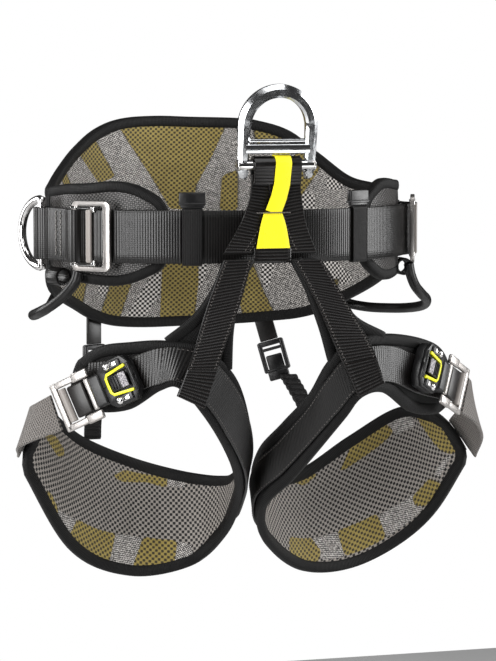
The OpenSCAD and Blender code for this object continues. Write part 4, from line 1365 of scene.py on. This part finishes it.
def rear_suspension(side):
    """Rear tab, clip and hook on the belt, and the corrugated elastic down to the leg loop."""
    phi, drop, lean = (-35, 86, 0) if side == "left" else (27, 88, -16)
    leaning = Matrix.Rotation(math.radians(lean), 4, "Y")
    place = on_belt(phi, 0, 1) @ Matrix.Translation((0, 3, -drop)) @ leaning
    tab = bmesh.new()
    block_at(tab, place, (0, 0, 2), (15, 2.4, 26), 0.7)
    finish_piece(f"{side}_rear_tab", tab, WEBBING, "belt", [f"{side}_rear_tab"])
    clip = bmesh.new()
    for x in (-9.2, 9.2):
        block_at(clip, place, (x, 0, -24.5), (3.6, 5, 26), 1.4)
    for z, h in ((-13.4, 4.2), (-18.4, 2.4), (-36.2, 2.6)):
        block_at(clip, place, (0, 0, z), (20, 4.6, h), 1.0)
    block_at(clip, place, (0, 0, -40.5), (17, 5.4, 8), 1.2)
    finish_piece(f"{side}_rear_clip", clip, PLASTIC, "belt", [f"{side}_rear_clip"])
    hook = bmesh.new()
    block_at(hook, place, (0, 0, -30), (13.4, 4, 13), 1.3)
    finish_piece(f"{side}_rear_hook", hook, PLASTIC, "belt", [f"{side}_rear_hook"])
    a = [Vector(p) + Vector((7, 0, 0)) for p in ELASTIC_PATH[side]]
    b = [Vector(p) - Vector((7, 0, 0)) for p in ELASTIC_PATH[side]]
    path = ribbon(a, b)

    def ridged(s):
        swell = 0.7 + 1.5 * abs(math.sin(math.pi * s * 3.6)) ** 0.7
        return strap_section(-swell, swell, 4)

    bm = loft(path, spread(0, 3, 90), ridged)
    piece = finish_piece(f"{side}_rear_elastic", bm, ELASTIC, None, [f"{side}_rear_elastic"], 70)
    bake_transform(piece, "belt", f"{side}_leg", start=tuple(path(0, 0.5) * MM), end=tuple(path(3, 0.5) * MM))


# ---- camera, light and floor ----

def camera():
    """The camera looks from the front left, a little above the belt."""
    data = bpy.data.cameras.new("camera")
    data.lens = 165.5
    data.sensor_width = 36
    data.clip_end = 20
    view = bpy.data.objects.new("camera", data)
    azimuth, elevation, distance = math.radians(-18), math.radians(5), 2.4
    back = Vector((math.sin(azimuth) * math.cos(elevation), -math.cos(azimuth) * math.cos(elevation),
                   math.sin(elevation)))
    view.location = Vector((0.012, -0.004, -0.0805)) + back * distance
    view.rotation_euler = back.to_track_quat("Z", "Y").to_euler()
    bpy.context.scene.collection.objects.link(view)
    bpy.context.scene.camera = view


def area_light(name, azimuth, elevation, distance, width, height, power):
    """A soft box that faces the object."""
    data = bpy.data.lights.new(name, "AREA")
    data.shape = "RECTANGLE"
    data.size, data.size_y = width, height
    data.energy = power
    light = bpy.data.objects.new(name, data)
    a, e = math.radians(azimuth), math.radians(elevation)
    back = Vector((math.sin(a) * math.cos(e), -math.cos(a) * math.cos(e), math.sin(e)))
    light.location = back * distance
    light.rotation_euler = back.to_track_quat("Z", "Y").to_euler()
    bpy.context.scene.collection.objects.link(light)


def studio():
    """A white room to the camera, dimmer for light, with soft boxes and a plain pale floor."""
    world = bpy.data.worlds.new("studio")
    bpy.context.scene.world = world
    world.use_nodes = True
    tree = world.node_tree
    tree.nodes.clear()
    path = tree.nodes.new("ShaderNodeLightPath")
    seen = tree.nodes.new("ShaderNodeBackground")
    seen.inputs["Color"].default_value = (1, 1, 1, 1)
    room = tree.nodes.new("ShaderNodeBackground")
    room.inputs["Color"].default_value = (1, 1, 1, 1)
    room.inputs["Strength"].default_value = 0.05
    mix = tree.nodes.new("ShaderNodeMixShader")
    out = tree.nodes.new("ShaderNodeOutputWorld")
    tree.links.new(path.outputs["Is Camera Ray"], mix.inputs[0])
    tree.links.new(room.outputs[0], mix.inputs[1])
    tree.links.new(seen.outputs[0], mix.inputs[2])
    tree.links.new(mix.outputs[0], out.inputs["Surface"])
    area_light("left_box", -56, 10, 1.6, 0.6, 1.4, 30)
    area_light("right_box", 75, 10, 1.6, 0.8, 1.4, 30)
    area_light("left_rim", -121, 12, 1.6, 0.6, 1.2, 16)
    area_light("top_box", 0, 64, 1.5, 1.2, 0.7, 9)
    area_light("front_box", -8, 28, 2.4, 0.7, 0.7, 3)
    area_light("low_card", 18, -24, 1.2, 0.7, 0.3, 2)
    floor = bmesh.new()
    bmesh.ops.create_grid(floor, x_segments=1, y_segments=1, size=1.3)
    bmesh.ops.translate(floor, vec=(0, 0, -0.62), verts=floor.verts)
    mesh = bpy.data.meshes.new("floor")
    floor.to_mesh(mesh)
    floor.free()
    pale, shader = new_material("pale_floor", Roughness=0.9)
    tone = mixed(pale, ramp(pale, blotches(pale, 120), 0.3, 0.7), "#cfcfcf", "#d6d6d6")
    mesh.materials.append(finish_material(pale, shader, tone))
    ground = bpy.data.objects.new("floor", mesh)
    bpy.context.scene.collection.objects.link(ground)
    bpy.context.scene.view_settings.view_transform = "Standard"


camera()
back_pad()
belt_webbing()
ventral_ring()
bridge()
for side in ("left", "right"):
    side_pad(side)
    ring_strap(side)
    keeper(side)
    side_ring(side)
    waist_frame(side)
    waist_plate(side)
    buckle_tail(side)
    gear_loop(side)
    accessory_loop(side)
    rear_suspension(side)
    leg_pad(side)
    riser_pad(side)
    leg_straps(side)
    adjust_webbing(side)
    leg_buckle(side)
studio()
